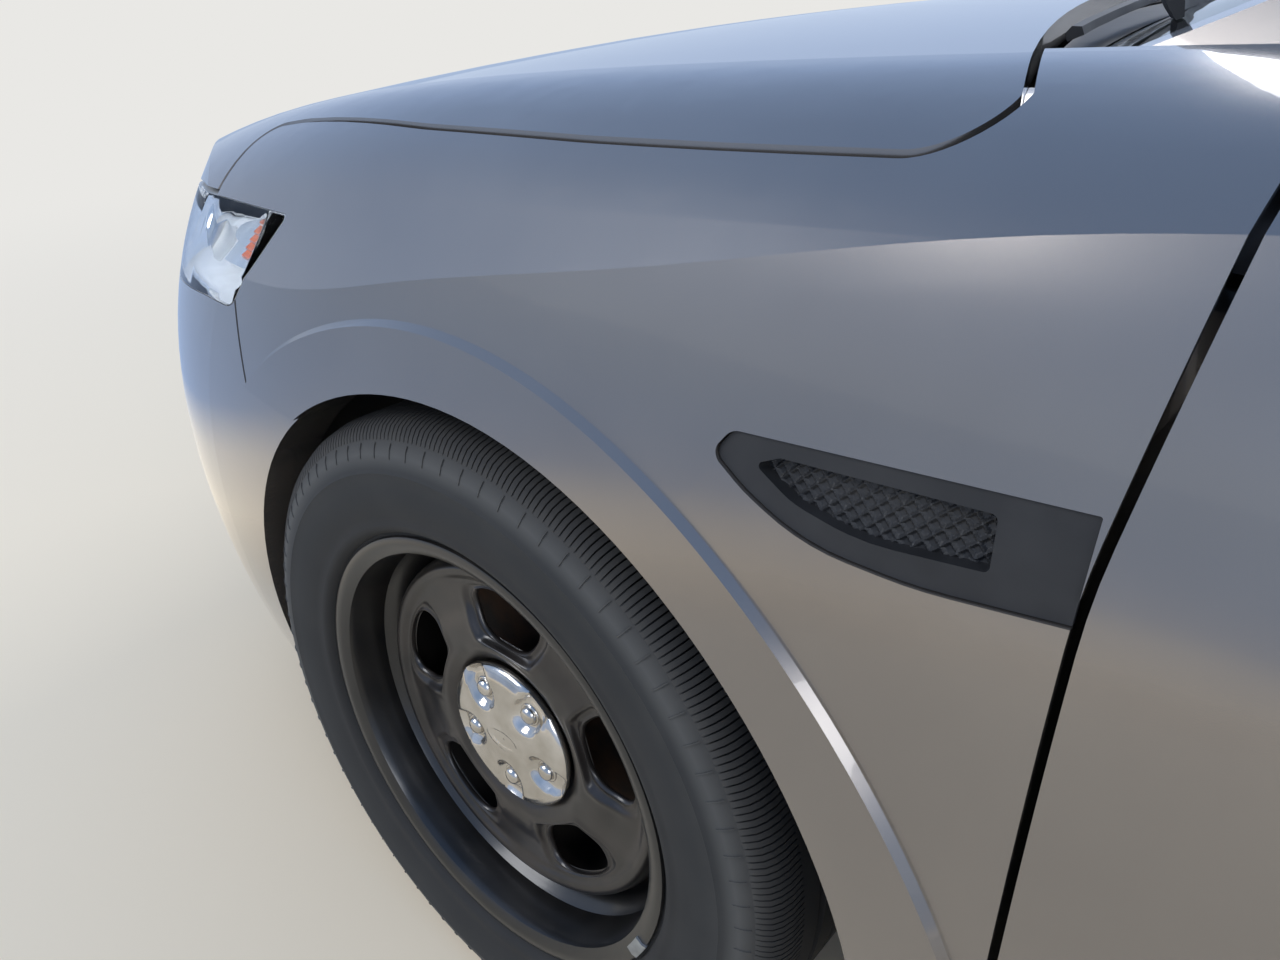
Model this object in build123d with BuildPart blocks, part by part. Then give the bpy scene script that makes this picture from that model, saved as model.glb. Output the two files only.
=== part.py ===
"""Full-size four-door patrol saloon, built as separate panels around a hollow cabin.

Frame: +Z up, the nose points to -Y, the car's left side is +X. The origin lies on the ground,
midway along the length. All sizes are in millimetres.
"""
from build123d import *
from math import atan2, cos, degrees, hypot, radians, sin, sqrt, tan
import os

os.makedirs("parts", exist_ok=True)

# Driving dimensions of the whole car
LENGTH = 5154
HALF_WIDTH = 968
FRONT_AXLE = -1537
REAR_AXLE = 1331
TRACK = 1661
SILL_BOTTOM = 195
GROUND = 0

# Sheet and wall thicknesses
SKIN = 6
HOOD_WALL = 22
SHELL_WALL = 42
DOOR_WALL = 82
FRAME_WALL = 26
GLASS = 5
GLASS_DEPTH = 11

# Clearances
SHUT_GAP = 6
SEAM = 0.8
SEAT = 0.4
RUNNING = 0.3

# Tyres and wheels
TYRE_RADIUS = 363
TYRE_WIDTH = 245
TREAD_WIDTH = 205
RIM_RADIUS = 232
FLANGE_RADIUS = 245
RIM_WIDTH = 222
WHEEL_OFFSET = 44
STUD_CIRCLE = 114.3
HUB_BORE = 35
CAP_RADIUS = 83
DISC_BACK = TRACK / 2 + WHEEL_OFFSET - 6
BRAKE_RADIUS = 165
WINDOW_COUNT = 5
WINDOW_LINE = ((-22, 112), (22, 112), (51, 171), (-51, 171))
CAP_PROFILE = ((44.4, 36), (44.4, 74), (62, 81), (66, CAP_RADIUS + 3), (70, CAP_RADIUS), (73, 76), (76, 40), (77, 1), (52, 1), (48, 36))

# Wheel arches
ARCH_RADIUS = 424
ARCH_HEIGHT = 335
FRONT_ARCH = FRONT_AXLE + 24
REAR_ARCH = REAR_AXLE + 4
LINER_RADIUS = 452
LINER_INNER = 500
FLARE_PROUD = 7
FLARE_RADIUS = 525
FLARE_HEIGHT = 279
FLARE_TAPER = 0.6
LIP = 7

# Steering axis, from the lower ball joint to the top of the strut (x, z)
BALL_JOINT = (775, 205)
STRUT_TOP = (585, 905)

HALF_TRACK = TRACK / 2
HALF_LENGTH = LENGTH / 2

# Plan outlines of the flanks. Columns: height, half width, nose, tail, nose corner radius
FLANK_LEVELS = (
    (SILL_BOTTOM, HALF_WIDTH - 45, 60 - HALF_LENGTH, HALF_LENGTH - 70, 480),
    (330, HALF_WIDTH - 14, 14 - HALF_LENGTH, HALF_LENGTH - 22, 480),
    (560, HALF_WIDTH, -HALF_LENGTH, HALF_LENGTH, 480),
    (760, HALF_WIDTH - 5, 40 - HALF_LENGTH, HALF_LENGTH - 22, 590),
    (940, HALF_WIDTH - 40, 172 - HALF_LENGTH, HALF_LENGTH - 60, 620),
    (1180, HALF_WIDTH - 146, 462 - HALF_LENGTH, HALF_LENGTH - 166, 620),
)
# Headings in degrees and radii of the arcs from the centre line round the corner to the side
NOSE_HEADINGS = (0, 17, 62, 80, 88.7, 90)
NOSE_RADII = (800, 1700)
TAIL_HEADINGS = (0, 11, 68, 80, 88.6, 90)
TAIL_RADII = (330, 900, 2400)

# Cross-sections of hood, belt and deck. Columns: station along Y, height on the centre line,
# half width at the shoulder crease, shoulder radius, crown angle, shoulder angle
TOP_SECTIONS = (
    (-2700, 700, 850, 200, 5, 60),
    (-2450, 828, 855, 200, 5, 60),
    (-2100, 942, 868, 180, 5, 60),
    (-1820, 998, 880, 165, 5, 60),
    (-1560, 1030, 892, 200, 5, 55),
    (-1300, 1053, 903, 235, 5, 50),
    (-1000, 1074, 920, 286, 5, 43),
    (-300, 1086, 926, 270, 5, 46),
    (600, 1104, 924, 260, 5, 50),
    (1400, 1128, 905, 240, 5, 54),
    (1950, 1142, 888, 230, 5, 54),
    (2700, 1128, 850, 220, 5, 50),
)
# Cross-sections of the cabin, same columns
CABIN_SECTIONS = (
    (-1500, 1376, 498, 130, 6, 61),
    (-1000, 1462, 548, 130, 6, 61),
    (-500, 1517, 586, 130, 6, 61),
    (100, 1542, 602, 130, 6, 61),
    (700, 1524, 592, 130, 6, 61),
    (1200, 1468, 582, 130, 6, 60),
    (1900, 1340, 545, 130, 6, 58),
)
# Windscreen and rear window on the centre line. Columns: height, windscreen, rear window
SCREEN_LEVELS = (
    (930, -1452, 1935),
    (1220, -826, 1395),
    (1560, -190, 640),
)
SCREEN_SPREAD = 1000
WINDSCREEN_SETBACK = 225
REAR_WINDOW_SETBACK = 290
CABIN_FLOOR = 930
BODY_FLOOR = -600
OUTSIDE = 1200


def arc_run(headings, radii, start):
    """Tangent arcs, each as start, middle and end point; headings in degrees from +X."""
    arcs = []
    x, y = start
    for first, last, radius in zip(headings, headings[1:], radii):
        a, b = radians(first), radians(last)
        half = (a + b) / 2
        middle = (x + radius * (sin(half) - sin(a)), y + radius * (cos(a) - cos(half)))
        end = (x + radius * (sin(b) - sin(a)), y + radius * (cos(a) - cos(b)))
        arcs.append(((x, y), middle, end))
        x, y = end
    return arcs


def quarter_outline(headings, radii, reach_x, reach_y):
    """Arcs from the centre line to the side; the first and last radii take up the reach."""
    s = [sin(radians(h)) for h in headings]
    c = [cos(radians(h)) for h in headings]
    inner = range(1, len(headings) - 2)
    rest_x = reach_x - sum(radii[i - 1] * (s[i + 1] - s[i]) for i in inner)
    rest_y = reach_y - sum(radii[i - 1] * (c[i] - c[i + 1]) for i in inner)
    det = (s[1] - s[0]) * (c[-2] - c[-1]) - (s[-1] - s[-2]) * (c[0] - c[1])
    first = (rest_x * (c[-2] - c[-1]) - rest_y * (s[-1] - s[-2])) / det
    last = ((s[1] - s[0]) * rest_y - (c[0] - c[1]) * rest_x) / det
    return arc_run(headings, (first, *radii, last), (0, 0))


def plan_line(half_width, nose, tail, corner, inset):
    """Closed plan outline of the flanks, for the sketch in hand."""
    nose_radii = [r - inset for r in (corner, *NOSE_RADII)]
    tail_radii = [r - inset for r in TAIL_RADII]
    front = quarter_outline(NOSE_HEADINGS, nose_radii, half_width - inset, -nose - inset)
    rear = quarter_outline(TAIL_HEADINGS, tail_radii, half_width - inset, tail - inset)
    for run, end, way in ((front, nose + inset, 1), (rear, tail - inset, -1)):
        tip = run[0][2]
        ThreePointArc((-tip[0], end + way * tip[1]), (0, end), (tip[0], end + way * tip[1]))
        for side in (1, -1):
            for arc in run[1:]:
                ThreePointArc(*[(side * x, end + way * y) for x, y in arc])


def crown_line(section, floor, inset):
    """Closed cross-section with a crown, two shoulders and slanting sides."""
    _, top, half_width, radius, crown, shoulder = section
    a, b = radians(crown), radians(shoulder)
    top = top - inset
    edge_x = half_width - inset * sin(b)
    radius = radius - inset
    crown_x = edge_x - radius * (sin(b) - sin(a))
    crown_z = top - crown_x / sin(a) * (1 - cos(a))
    edge_z = crown_z - radius * (cos(a) - cos(b))
    half = (a + b) / 2
    middle_x = crown_x + radius * (sin(half) - sin(a))
    middle_z = crown_z - radius * (cos(a) - cos(half))
    foot_x = min(OUTSIDE, edge_x + (edge_z - floor) / tan(b))
    foot_z = edge_z - (foot_x - edge_x) * tan(b)
    ThreePointArc((-crown_x, crown_z), (0, top), (crown_x, crown_z))
    for side in (1, -1):
        ThreePointArc((side * crown_x, crown_z), (side * middle_x, middle_z), (side * edge_x, edge_z))
        Line((side * edge_x, edge_z), (side * foot_x, foot_z))
        if foot_z > floor + 1:
            Line((side * foot_x, foot_z), (side * foot_x, floor))
    Line((-foot_x, floor), (foot_x, floor))


def crown_loft(sections, floor, inset):
    with BuildPart() as body:
        for section in sections:
            with BuildSketch(Plane.XZ.offset(-section[0])):
                with BuildLine():
                    crown_line(section, floor, inset)
                make_face()
        loft()
    return body.part


def lower_body(inset):
    """Body below the belt line as one solid, its outside moved in by the inset."""
    top = crown_loft(TOP_SECTIONS, BODY_FLOOR, inset)
    with BuildPart() as body:
        for height, half_width, nose, tail, corner in FLANK_LEVELS:
            low = max(inset, 0) if height == SILL_BOTTOM else 0
            with BuildSketch(Plane.XY.offset(height - low)):
                with BuildLine():
                    plan_line(half_width, nose, tail, corner, inset)
                make_face()
        loft()
        add(top, mode=Mode.INTERSECT)
    return body.part


def cabin_body(inset):
    """Cabin above the belt line as one solid, its outside moved in by the inset."""
    crown = crown_loft(CABIN_SECTIONS, CABIN_FLOOR, inset)
    (z0, front0, rear0), (z1, front1, rear1) = SCREEN_LEVELS[0], SCREEN_LEVELS[-1]
    front_inset = inset * hypot(z1 - z0, front1 - front0) / (z1 - z0)
    rear_inset = inset * hypot(z1 - z0, rear0 - rear1) / (z1 - z0)
    with BuildPart() as body:
        for height, front, rear in SCREEN_LEVELS:
            nose = front + front_inset
            tail = rear - rear_inset
            with BuildSketch(Plane.XY.offset(height)):
                with BuildLine():
                    for y, back in ((nose, WINDSCREEN_SETBACK), (tail, -REAR_WINDOW_SETBACK)):
                        ThreePointArc((-SCREEN_SPREAD, y + back), (0, y), (SCREEN_SPREAD, y + back))
                    for x in (-SCREEN_SPREAD, SCREEN_SPREAD):
                        Line((x, nose + WINDSCREEN_SETBACK), (x, tail - REAR_WINDOW_SETBACK))
                make_face()
        loft()
        add(crown, mode=Mode.INTERSECT)
    return body.part


def block(plane, points, depth, grow=0, radius=None):
    """Prism on the plane, its outline moved out by grow; radius lists the corner radii."""
    with BuildPart() as prism:
        with BuildSketch(plane):
            with BuildLine():
                if radius is None:
                    Polyline(*points, close=True)
                else:
                    FilletPolyline(*points, radius=radius, close=True)
            make_face()
            if grow:
                offset(amount=grow, kind=Kind.INTERSECTION)
        extrude(amount=depth)
    return prism.part


def side_block(points, near, far, grow=0, radius=None):
    """Side-view outline (y, z) between two x positions."""
    return block(Plane.YZ.offset(near), points, far - near, grow, radius)


def front_block(points, near, far, grow=0, radius=None):
    """Front-view outline (x, z) between two y positions."""
    return block(Plane.XZ.offset(-near), points, near - far, grow, radius)


def plan_block(points, near, far, grow=0, radius=None):
    """Plan outline (x, y) between two heights."""
    return block(Plane.XY.offset(near), points, far - near, grow, radius)


def cylinder_x(y, z, radius, near, far):
    """Cylinder along X at (y, z) between two x positions."""
    with BuildPart() as rod:
        with BuildSketch(Plane.YZ.offset(near)):
            with Locations((y, z)):
                Circle(radius)
        extrude(amount=far - near)
    return rod.part


def both_sides(left):
    """The left part and its mirror image, as one part."""
    with BuildPart() as pair:
        add(left)
        mirror(about=Plane.YZ)
    return pair.part


def other_side(left):
    with BuildPart() as right:
        add(mirror(left, about=Plane.YZ, mode=Mode.PRIVATE))
    return right.part


def write(part, name):
    """Label a finished piece and write it as one node."""
    part.label = name
    export_step(part, f"parts/{name}.step")


# Panel outlines. Side views are (y, z), the windscreen and rear window are front views (x, z)
FRONT_DOOR_EDGE = -1009
B_POST = 130
DOOR_BOTTOM = 262
DOOR_INNER = 800
FRONT_DOOR_LINE = (
    (FRONT_DOOR_EDGE, DOOR_BOTTOM),
    (FRONT_DOOR_EDGE, 800),
    (FRONT_DOOR_EDGE + 28, 1026),
    (-300, 1398),
    (B_POST - SHUT_GAP / 2, 1432),
    (B_POST - SHUT_GAP / 2, DOOR_BOTTOM),
)
FRONT_DOOR_RADII = [30, 500, 20, 160, 12, 25]
REAR_DOOR_EDGE = 1150
REAR_DOOR_LINE = (
    (B_POST + SHUT_GAP / 2, DOOR_BOTTOM),
    (B_POST + SHUT_GAP / 2, 1432),
    (520, 1434),
    (870, 1380),
    (REAR_DOOR_EDGE - 20, 1090),
    (REAR_DOOR_EDGE, 950),
    (REAR_DOOR_EDGE, DOOR_BOTTOM),
)
REAR_DOOR_RADII = [25, 12, 300, 120, 80, 60, 25]
FRONT_WINDOW_LINE = ((-808, 1040), (-808, 1072), (-292, 1352), (B_POST - 54, 1386), (B_POST - 54, 1052))
FRONT_WINDOW_RADII = [12, 20, 120, 12, 12]
REAR_WINDOW_LINE = ((B_POST + 54, 1055), (B_POST + 54, 1388), (510, 1388), (842, 1338), (1068, 1108), (1074, 1075))
REAR_WINDOW_RADII = [12, 12, 280, 80, 12, 12]
DOOR_ARCH_MARGIN = 55
SILL_TOP = DOOR_BOTTOM - SHUT_GAP
DOOR_FLANGE = 30
HINGE_X = 935
HINGE_BACK = 77
HINGE_HEIGHTS = (400, 690)
HINGE_POCKET = 70
HINGE_PIN = 6
DOOR_AXES = (FRONT_DOOR_EDGE + HINGE_BACK, B_POST + SHUT_GAP / 2 + HINGE_BACK)
PILLAR_FACE = 850
PILLAR_BACK = 802
# Room in the pillars for the inner front corner of each door as it swings about its pin
SWING_ROOM = (105, 118)
SWING_TOP = 1000
LINER_WALL = 2

# Floor, from the bulkhead to the tail panel, and the wheel house liners (inner and outer ends)
FLOOR_HEIGHTS = (225, 385, 520)
FLOOR_LINE = (
    (-1175, 930),
    (-1130, 500),
    (-980, FLOOR_HEIGHTS[0]),
    (400, FLOOR_HEIGHTS[0]),
    (480, FLOOR_HEIGHTS[1]),
    (1000, FLOOR_HEIGHTS[1]),
    (1090, FLOOR_HEIGHTS[2]),
    (2350, FLOOR_HEIGHTS[2]),
)
FLOOR_EDGE = 770
FRONT_LINER = (505, 906)
REAR_LINER = (560, 895)
LINER_HOLE = 94
TOWER_RADIUS = 90

WINDSCREEN_LINE = ((-724, 900), (724, 900), (535, 1475), (535, 1600), (-535, 1600), (-535, 1475))
BACKLIGHT_LINE = ((-655, 900), (655, 900), (505, 1440), (505, 1600), (-505, 1600), (-505, 1440))
WINDSCREEN_BASE = 992
BACKLIGHT_BASE = 1100
HEADER_FRONT = -285
HEADER_REAR = 770
ROOF_EDGE = 548

HOOD_REAR_CENTRE = -1284
HOOD_REAR_CORNER = -1136
HOOD_LINE_SIDE = ((868, HOOD_REAR_CORNER), (852, -1440), (838, -1650), (812, -1880), (806, -1960), (1050, -2120))
HOOD_CORNER_RADIUS = 44
HOOD_FRONT_HEIGHT = 795
COWL_HALF_WIDTH = 732
COWL_DROP = 22
LID_FRONT = 1655
LID_LINE = ((742, LID_FRONT), (728, 2330), (596, 2395), (596, 2700))
LID_BOTTOM = 770

# Head lamp outline on a plane that faces forward and outward at 45 degrees: (along, height)
LAMP_LINE = (
    (-650, 862),
    (-664, 800),
    (-690, 758),
    (-760, 752),
    (-1020, 712),
    (-1400, 700),
    (-1450, 748),
    (-1410, 775),
    (-1120, 812),
    (-870, 848),
)
LAMP_RADII = [5, 60, 30, 80, 150, 25, 12, 40, 150, 80]
TAIL_LAMP_LINE = ((2120, 925), (2260, 962), (2700, 962), (2700, 800), (2330, 800), (2200, 855))
TAIL_LAMP_RADII = [10, 40, 5, 5, 40, 40]
TAIL_LAMP_INNER = 602

# Seam between front bumper and fender, and between rear bumper and quarter panel: (y, z)
FRONT_BUMPER_LINE = ((-2700, 60), (-1740, 60), (-1740, 676), (-1876, 681), (-1890, 775), (-2700, 775))
REAR_BUMPER_LINE = ((2700, 60), (1560, 60), (1560, 605), (1800, 690), (2180, 766), (2700, 766))

GRILLE_LINE = ((-430, 765), (430, 765), (395, 560), (330, 520), (-330, 520), (-395, 560))
INTAKE_LINE = ((-450, 400), (450, 400), (400, 262), (-400, 262))
FOG_LINE = ((560, 400), (740, 415), (750, 330), (590, 300))
GRILLE_BAR = 12
GRILLE_PITCH = 42

VENT_RECESS = 3
VENT_END = FRONT_DOOR_EDGE - SHUT_GAP
VENT_LINE = ((-1249, 805), (-1236, 823), (VENT_END, 843), (VENT_END, 782), (-1100, 769), (-1175, 768), (-1222, 788))
VENT_RADII = [8, 14, 0.5, 0.5, 300, 150, 100]
VENT_MESH_LINE = ((-1218, 806), (-1200, 815), (-1064, 826), (-1062, 793), (-1140, 782), (-1188, 790))
VENT_MESH_RADII = [3, 8, 4, 4, 150, 60]

# Inner reach of the arch lips, and the side view of the gutter under the hood's edge: (y, z)
LIP_INNER = 884
GUTTER_LINE = ((-2100, 820), (-1850, 885), (-1250, 925), (-1100, 955), (-900, 955), (-900, 1300), (-2100, 1300))

LEDGE = COWL_DROP + SEAM
POST_DEPTH = DOOR_WALL + SHUT_GAP
SHELL_INSETS = (-FLARE_PROUD, 0, VENT_RECESS, SKIN, COWL_DROP, LEDGE, SHELL_WALL, DOOR_WALL, POST_DEPTH)
PANE = GLASS_DEPTH + GLASS
CABIN_INSETS = (-SEAM, 0, GLASS, GLASS_DEPTH, PANE, FRAME_WALL, SHELL_WALL, SHELL_WALL + SHUT_GAP)
shells = {t: lower_body(t) for t in SHELL_INSETS}
cabins = {t: cabin_body(t) for t in CABIN_INSETS}


def wall(bodies, inner, outer=0):
    """Wall between two insets of the same body."""
    with BuildPart() as sheet:
        add(bodies[outer])
        add(bodies[inner], mode=Mode.SUBTRACT, clean=False)
    return sheet.part



def common(first, *others):
    """What the parts have in common."""
    with BuildPart() as shared:
        add(first)
        for other in others:
            add(other, mode=Mode.INTERSECT, clean=False)
    return shared.part


def without(first, *others):
    with BuildPart() as rest:
        add(first)
        for other in others:
            add(other, mode=Mode.SUBTRACT, clean=False)
    return rest.part


def joined(*parts):
    with BuildPart() as whole:
        for part in parts:
            add(part, clean=False)
    return whole.part


def largest(part):
    """The biggest solid of a part, without the slivers that a cut leaves."""
    with BuildPart() as main:
        add(part.solids().sort_by(SortBy.VOLUME)[-1])
    return main.part


def box(x, y, z):
    """Box between the low and high value on each axis."""
    with BuildPart() as solid:
        with BuildSketch(Plane.XY.offset(z[0])):
            with Locations(((x[0] + x[1]) / 2, (y[0] + y[1]) / 2)):
                Rectangle(x[1] - x[0], y[1] - y[0])
        extrude(amount=z[1] - z[0])
    return solid.part


def rod(start, end, radius):
    """Round bar between two points."""
    way = Vector(*end) - Vector(*start)
    with BuildPart() as bar:
        with BuildSketch(Plane(origin=start, z_dir=way)):
            Circle(radius)
        extrude(amount=way.length)
    return bar.part


def cone_x(y, z, radius, wide_x):
    """Cone along X, of the given radius at wide_x and tapering outward."""
    with BuildPart() as taper:
        for x, r in ((wide_x - 80, radius + 80 * FLARE_TAPER), (wide_x + 40, radius - 40 * FLARE_TAPER)):
            with BuildSketch(Plane.YZ.offset(x)):
                with Locations((y, z)):
                    Circle(r)
        loft()
    return taper.part


def kingpin(z):
    """Point of the left steering axis at a height."""
    share = (z - BALL_JOINT[1]) / (STRUT_TOP[1] - BALL_JOINT[1])
    return (BALL_JOINT[0] + share * (STRUT_TOP[0] - BALL_JOINT[0]), FRONT_AXLE, z)


def hoop(centre, way, radius, thickness):
    """Ring of round bar about an axis through its centre."""
    with BuildPart() as ring:
        with Locations(Plane(origin=centre, z_dir=way)):
            Torus(radius, thickness)
    return ring.part


def arch_cut(centre, radius, near=LINER_INNER, far=OUTSIDE):
    return cylinder_x(centre, ARCH_HEIGHT, radius, near, far)


def hood_block(grow):
    """Plan of the hood above its front edge, moved out by grow."""
    side = HOOD_LINE_SIDE
    tip = side[0][0] - HOOD_CORNER_RADIUS - 4
    with BuildPart() as prism:
        with BuildSketch(Plane.XY.offset(HOOD_FRONT_HEIGHT - grow)):
            with BuildLine():
                ThreePointArc((-tip, HOOD_REAR_CORNER), (0, HOOD_REAR_CENTRE), (tip, HOOD_REAR_CORNER))
                for way in (1, -1):
                    edge = [(way * x, y) for x, y in ((tip, HOOD_REAR_CORNER), *side, (1050, -2700))]
                    FilletPolyline(*edge, radius=[HOOD_CORNER_RADIUS, 1200, 900, 300, 60, 60])
                Line((-1050, -2700), (1050, -2700))
            make_face()
            if grow:
                offset(amount=grow, kind=Kind.INTERSECTION)
        extrude(amount=500)
    return prism.part


def lamp_block(grow):
    """Head lamp opening on the left, cut along the 45 degree view."""
    diagonal = Plane(origin=(0, 0, 0), x_dir=(1, 1, 0), z_dir=(1, -1, 0))
    return block(diagonal.offset(600), LAMP_LINE, 2200, grow, LAMP_RADII)


def lid_block(grow):
    """Plan of the boot lid above its lower edge, moved out by grow."""
    outline = (*[(-x, y) for x, y in reversed(LID_LINE)], *LID_LINE)
    radii = [1, 60, 60, 40, 40, 60, 60, 1]
    return plan_block(outline, LID_BOTTOM - grow, 1300, grow, radii)


def door_outline(line, radii, arch, grow=0):
    """Prism of a door's outline, near the rear arch cut back by it."""
    outline = side_block(line, 400, OUTSIDE, grow, radii)
    if arch:
        outline = without(outline, arch_cut(REAR_ARCH, ARCH_RADIUS + DOOR_ARCH_MARGIN - grow, 300))
    return outline


skin_wall = wall(shells, SKIN)
hood_wall = wall(shells, HOOD_WALL)
shell_wall = wall(shells, SHELL_WALL)
door_wall = wall(shells, DOOR_WALL)

front_door_hole = door_outline(FRONT_DOOR_LINE, FRONT_DOOR_RADII, False, SHUT_GAP)
rear_door_hole = door_outline(REAR_DOOR_LINE, REAR_DOOR_RADII, True, SHUT_GAP)
hood_hole = hood_block(SHUT_GAP)
lid_hole = lid_block(SHUT_GAP)
lamp_hole = lamp_block(SEAM)
tail_lamp_hole = side_block(TAIL_LAMP_LINE, TAIL_LAMP_INNER - SEAM, OUTSIDE, SEAM, TAIL_LAMP_RADII)
half = box((0, OUTSIDE), (-2800, 2800), (0, 1700))
cowl_zone = without(box((-COWL_HALF_WIDTH, COWL_HALF_WIDTH), (-1400, -900), (900, 1200)), hood_hole)


# Roof and fixed glass
roof_zone = box((-ROOF_EDGE, ROOF_EDGE), (HEADER_FRONT, HEADER_REAR), (1200, 1700))
roof_hole = box((-ROOF_EDGE - SEAT, ROOF_EDGE + SEAT), (HEADER_FRONT, HEADER_REAR), (1200, 1700))
windscreen_zone = front_block(WINDSCREEN_LINE, -1700, HEADER_FRONT - SEAT)
windscreen_hole = front_block(WINDSCREEN_LINE, -1700, HEADER_FRONT, SEAT)
backlight_zone = front_block(BACKLIGHT_LINE, HEADER_REAR + SEAT, 2100)
backlight_hole = front_block(BACKLIGHT_LINE, HEADER_REAR, 2100, SEAT)

roof_panel = common(wall(cabins, FRAME_WALL), roof_zone)
write(roof_panel, "roof_panel")
above_cowl = box((-OUTSIDE, OUTSIDE), (-1700, 0), (WINDSCREEN_BASE, 1700))
above_deck = box((-OUTSIDE, OUTSIDE), (0, 2100), (BACKLIGHT_BASE, 1700))
screens = joined(
    common(wall(cabins, GLASS), windscreen_zone, above_cowl),
    common(wall(cabins, GLASS), backlight_zone, above_deck),
)
write(screens, "windscreens")


# Doors
def door(line, radii, window, window_radii, arch, axis_y):
    """Door with a thin outer flange, a deep core, a window frame and pockets for its hinges."""
    outline = door_outline(line, radii, arch)
    core = side_block(line, 400, OUTSIDE, -DOOR_FLANGE)
    if arch:
        core = without(core, arch_cut(REAR_ARCH, ARCH_RADIUS + DOOR_ARCH_MARGIN + DOOR_FLANGE, 300))
    rim = common(shells[SKIN], without(outline, core))
    limit = box((DOOR_INNER, OUTSIDE), (-1500, 1500), (0, 1200))
    leaf = without(common(door_wall, outline, limit), rim, cabins[SHELL_WALL])
    frame = common(wall(cabins, FRAME_WALL), outline)
    opening = side_block(window, 400, OUTSIDE, 0, window_radii)
    with BuildPart() as whole:
        add(leaf)
        add(frame)
        add(opening, mode=Mode.SUBTRACT)
        for height in HINGE_HEIGHTS:
            low, high = height - HINGE_POCKET / 2, height + HINGE_POCKET / 2
            reach = (axis_y - HINGE_BACK - 10, axis_y + 16)
            add(box((DOOR_INNER - 50, HINGE_X + 14), reach, (low, high)), mode=Mode.SUBTRACT)
            bore = rod((HINGE_X, axis_y, low - 14), (HINGE_X, axis_y, high + 14), HINGE_PIN + 0.1)
            add(bore, mode=Mode.SUBTRACT)
    return whole.part


def door_glass(window, window_radii):
    pane = side_block(window, 400, OUTSIDE, -SEAT, window_radii)
    return common(wall(cabins, PANE, GLASS_DEPTH), pane)


# Columns: name, outline, corner radii, window, window radii, cut by the arch, hinge axis
DOORS = (
    ("front", FRONT_DOOR_LINE, FRONT_DOOR_RADII, FRONT_WINDOW_LINE, FRONT_WINDOW_RADII, False, DOOR_AXES[0]),
    ("rear", REAR_DOOR_LINE, REAR_DOOR_RADII, REAR_WINDOW_LINE, REAR_WINDOW_RADII, True, DOOR_AXES[1]),
)
for name, line, radii, window, window_radii, arch, axis_y in DOORS:
    left_door = door(line, radii, window, window_radii, arch, axis_y)
    left_glass = door_glass(window, window_radii)
    write(left_door, f"{name}_door_left")
    write(other_side(left_door), f"{name}_door_right")
    write(left_glass, f"{name}_door_glass_left")
    write(other_side(left_glass), f"{name}_door_glass_right")


# Body sides: pillars, roof rail, sill and quarter panel in one pressing
def hinge_arms(axis_y):
    """Fixed hinge halves with their pins, from the pillar to the door's axis."""
    arms = []
    for height in HINGE_HEIGHTS:
        low, high = height - HINGE_POCKET / 2 + 1, height + HINGE_POCKET / 2 - 1
        root = (PILLAR_BACK + 10, axis_y - 34)
        way = Vector(HINGE_X - root[0], axis_y - root[1])
        side = Vector(-way.Y, way.X).normalized() * 8
        corners = [
            (root[0] + side.X, root[1] + side.Y),
            (HINGE_X + side.X, axis_y + side.Y),
            (HINGE_X - side.X, axis_y - side.Y),
            (root[0] - side.X, root[1] - side.Y),
        ]
        arms.append(plan_block(corners, low, high))
        arms.append(rod((HINGE_X, axis_y, low), (HINGE_X, axis_y, high), 11))
        arms.append(rod((HINGE_X, axis_y, low - 12), (HINGE_X, axis_y, high + 12), HINGE_PIN))
    return arms


lid_rim = lid_block(SHUT_GAP + 4)
lid_inside = lid_block(-20)
quarter_zone = box((0, OUTSIDE), (840, 2800), (235, 1400))
lid_room = without(lid_hole, shells[LEDGE])
sill_zone = box((0, OUTSIDE), (FRONT_ARCH + 380, 841), (SILL_BOTTOM, SILL_TOP))
sill_end = box((0, OUTSIDE), (840, REAR_ARCH - 380), (SILL_BOTTOM, SILL_TOP))
lower_side = without(
    common(shell_wall, joined(quarter_zone, sill_zone, sill_end)),
    rear_door_hole,
    arch_cut(REAR_ARCH, ARCH_RADIUS),
    arch_cut(FRONT_ARCH, LINER_RADIUS + SEAM),
    tail_lamp_hole,
    side_block(REAR_BUMPER_LINE, -10, OUTSIDE, SEAM),
    lid_room,
    lid_inside,
    cabins[SHELL_WALL],
    box((-1, TAIL_LAMP_INNER), (1500, 2800), (200, 1400)),
)
upper = without(
    common(wall(cabins, SHELL_WALL), box((0, OUTSIDE), (-1120, 2100), (900, 1700))),
    front_door_hole,
    rear_door_hole,
    roof_hole,
    windscreen_hole,
    backlight_hole,
)
POST_LINE = (
    (PILLAR_BACK, 230),
    (PILLAR_FACE, 230),
    (PILLAR_FACE, 900),
    (788, 1000),
    (569, 1424),
    (569, 1452),
    (545, 1452),
    (748, 1000),
    (PILLAR_BACK, 900),
)
posts = joined(
    box((FLOOR_EDGE, 872), (FRONT_ARCH + 455, REAR_ARCH - 455), (SILL_BOTTOM, 330)),
    box((PILLAR_BACK, PILLAR_FACE), (-1052, -925), (230, 925)),
    front_block(POST_LINE, 70, 196),
)
door_room = without(joined(front_door_hole, rear_door_hole), shells[POST_DEPTH], cabins[SHELL_WALL + SHUT_GAP])
pillar_foot = common(box((790, 897), (-1052, FRONT_DOOR_EDGE - SHUT_GAP - 1), (860, 1010)), shells[COWL_DROP])
hinges = joined(*hinge_arms(DOOR_AXES[0]), *hinge_arms(DOOR_AXES[1]))
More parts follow.
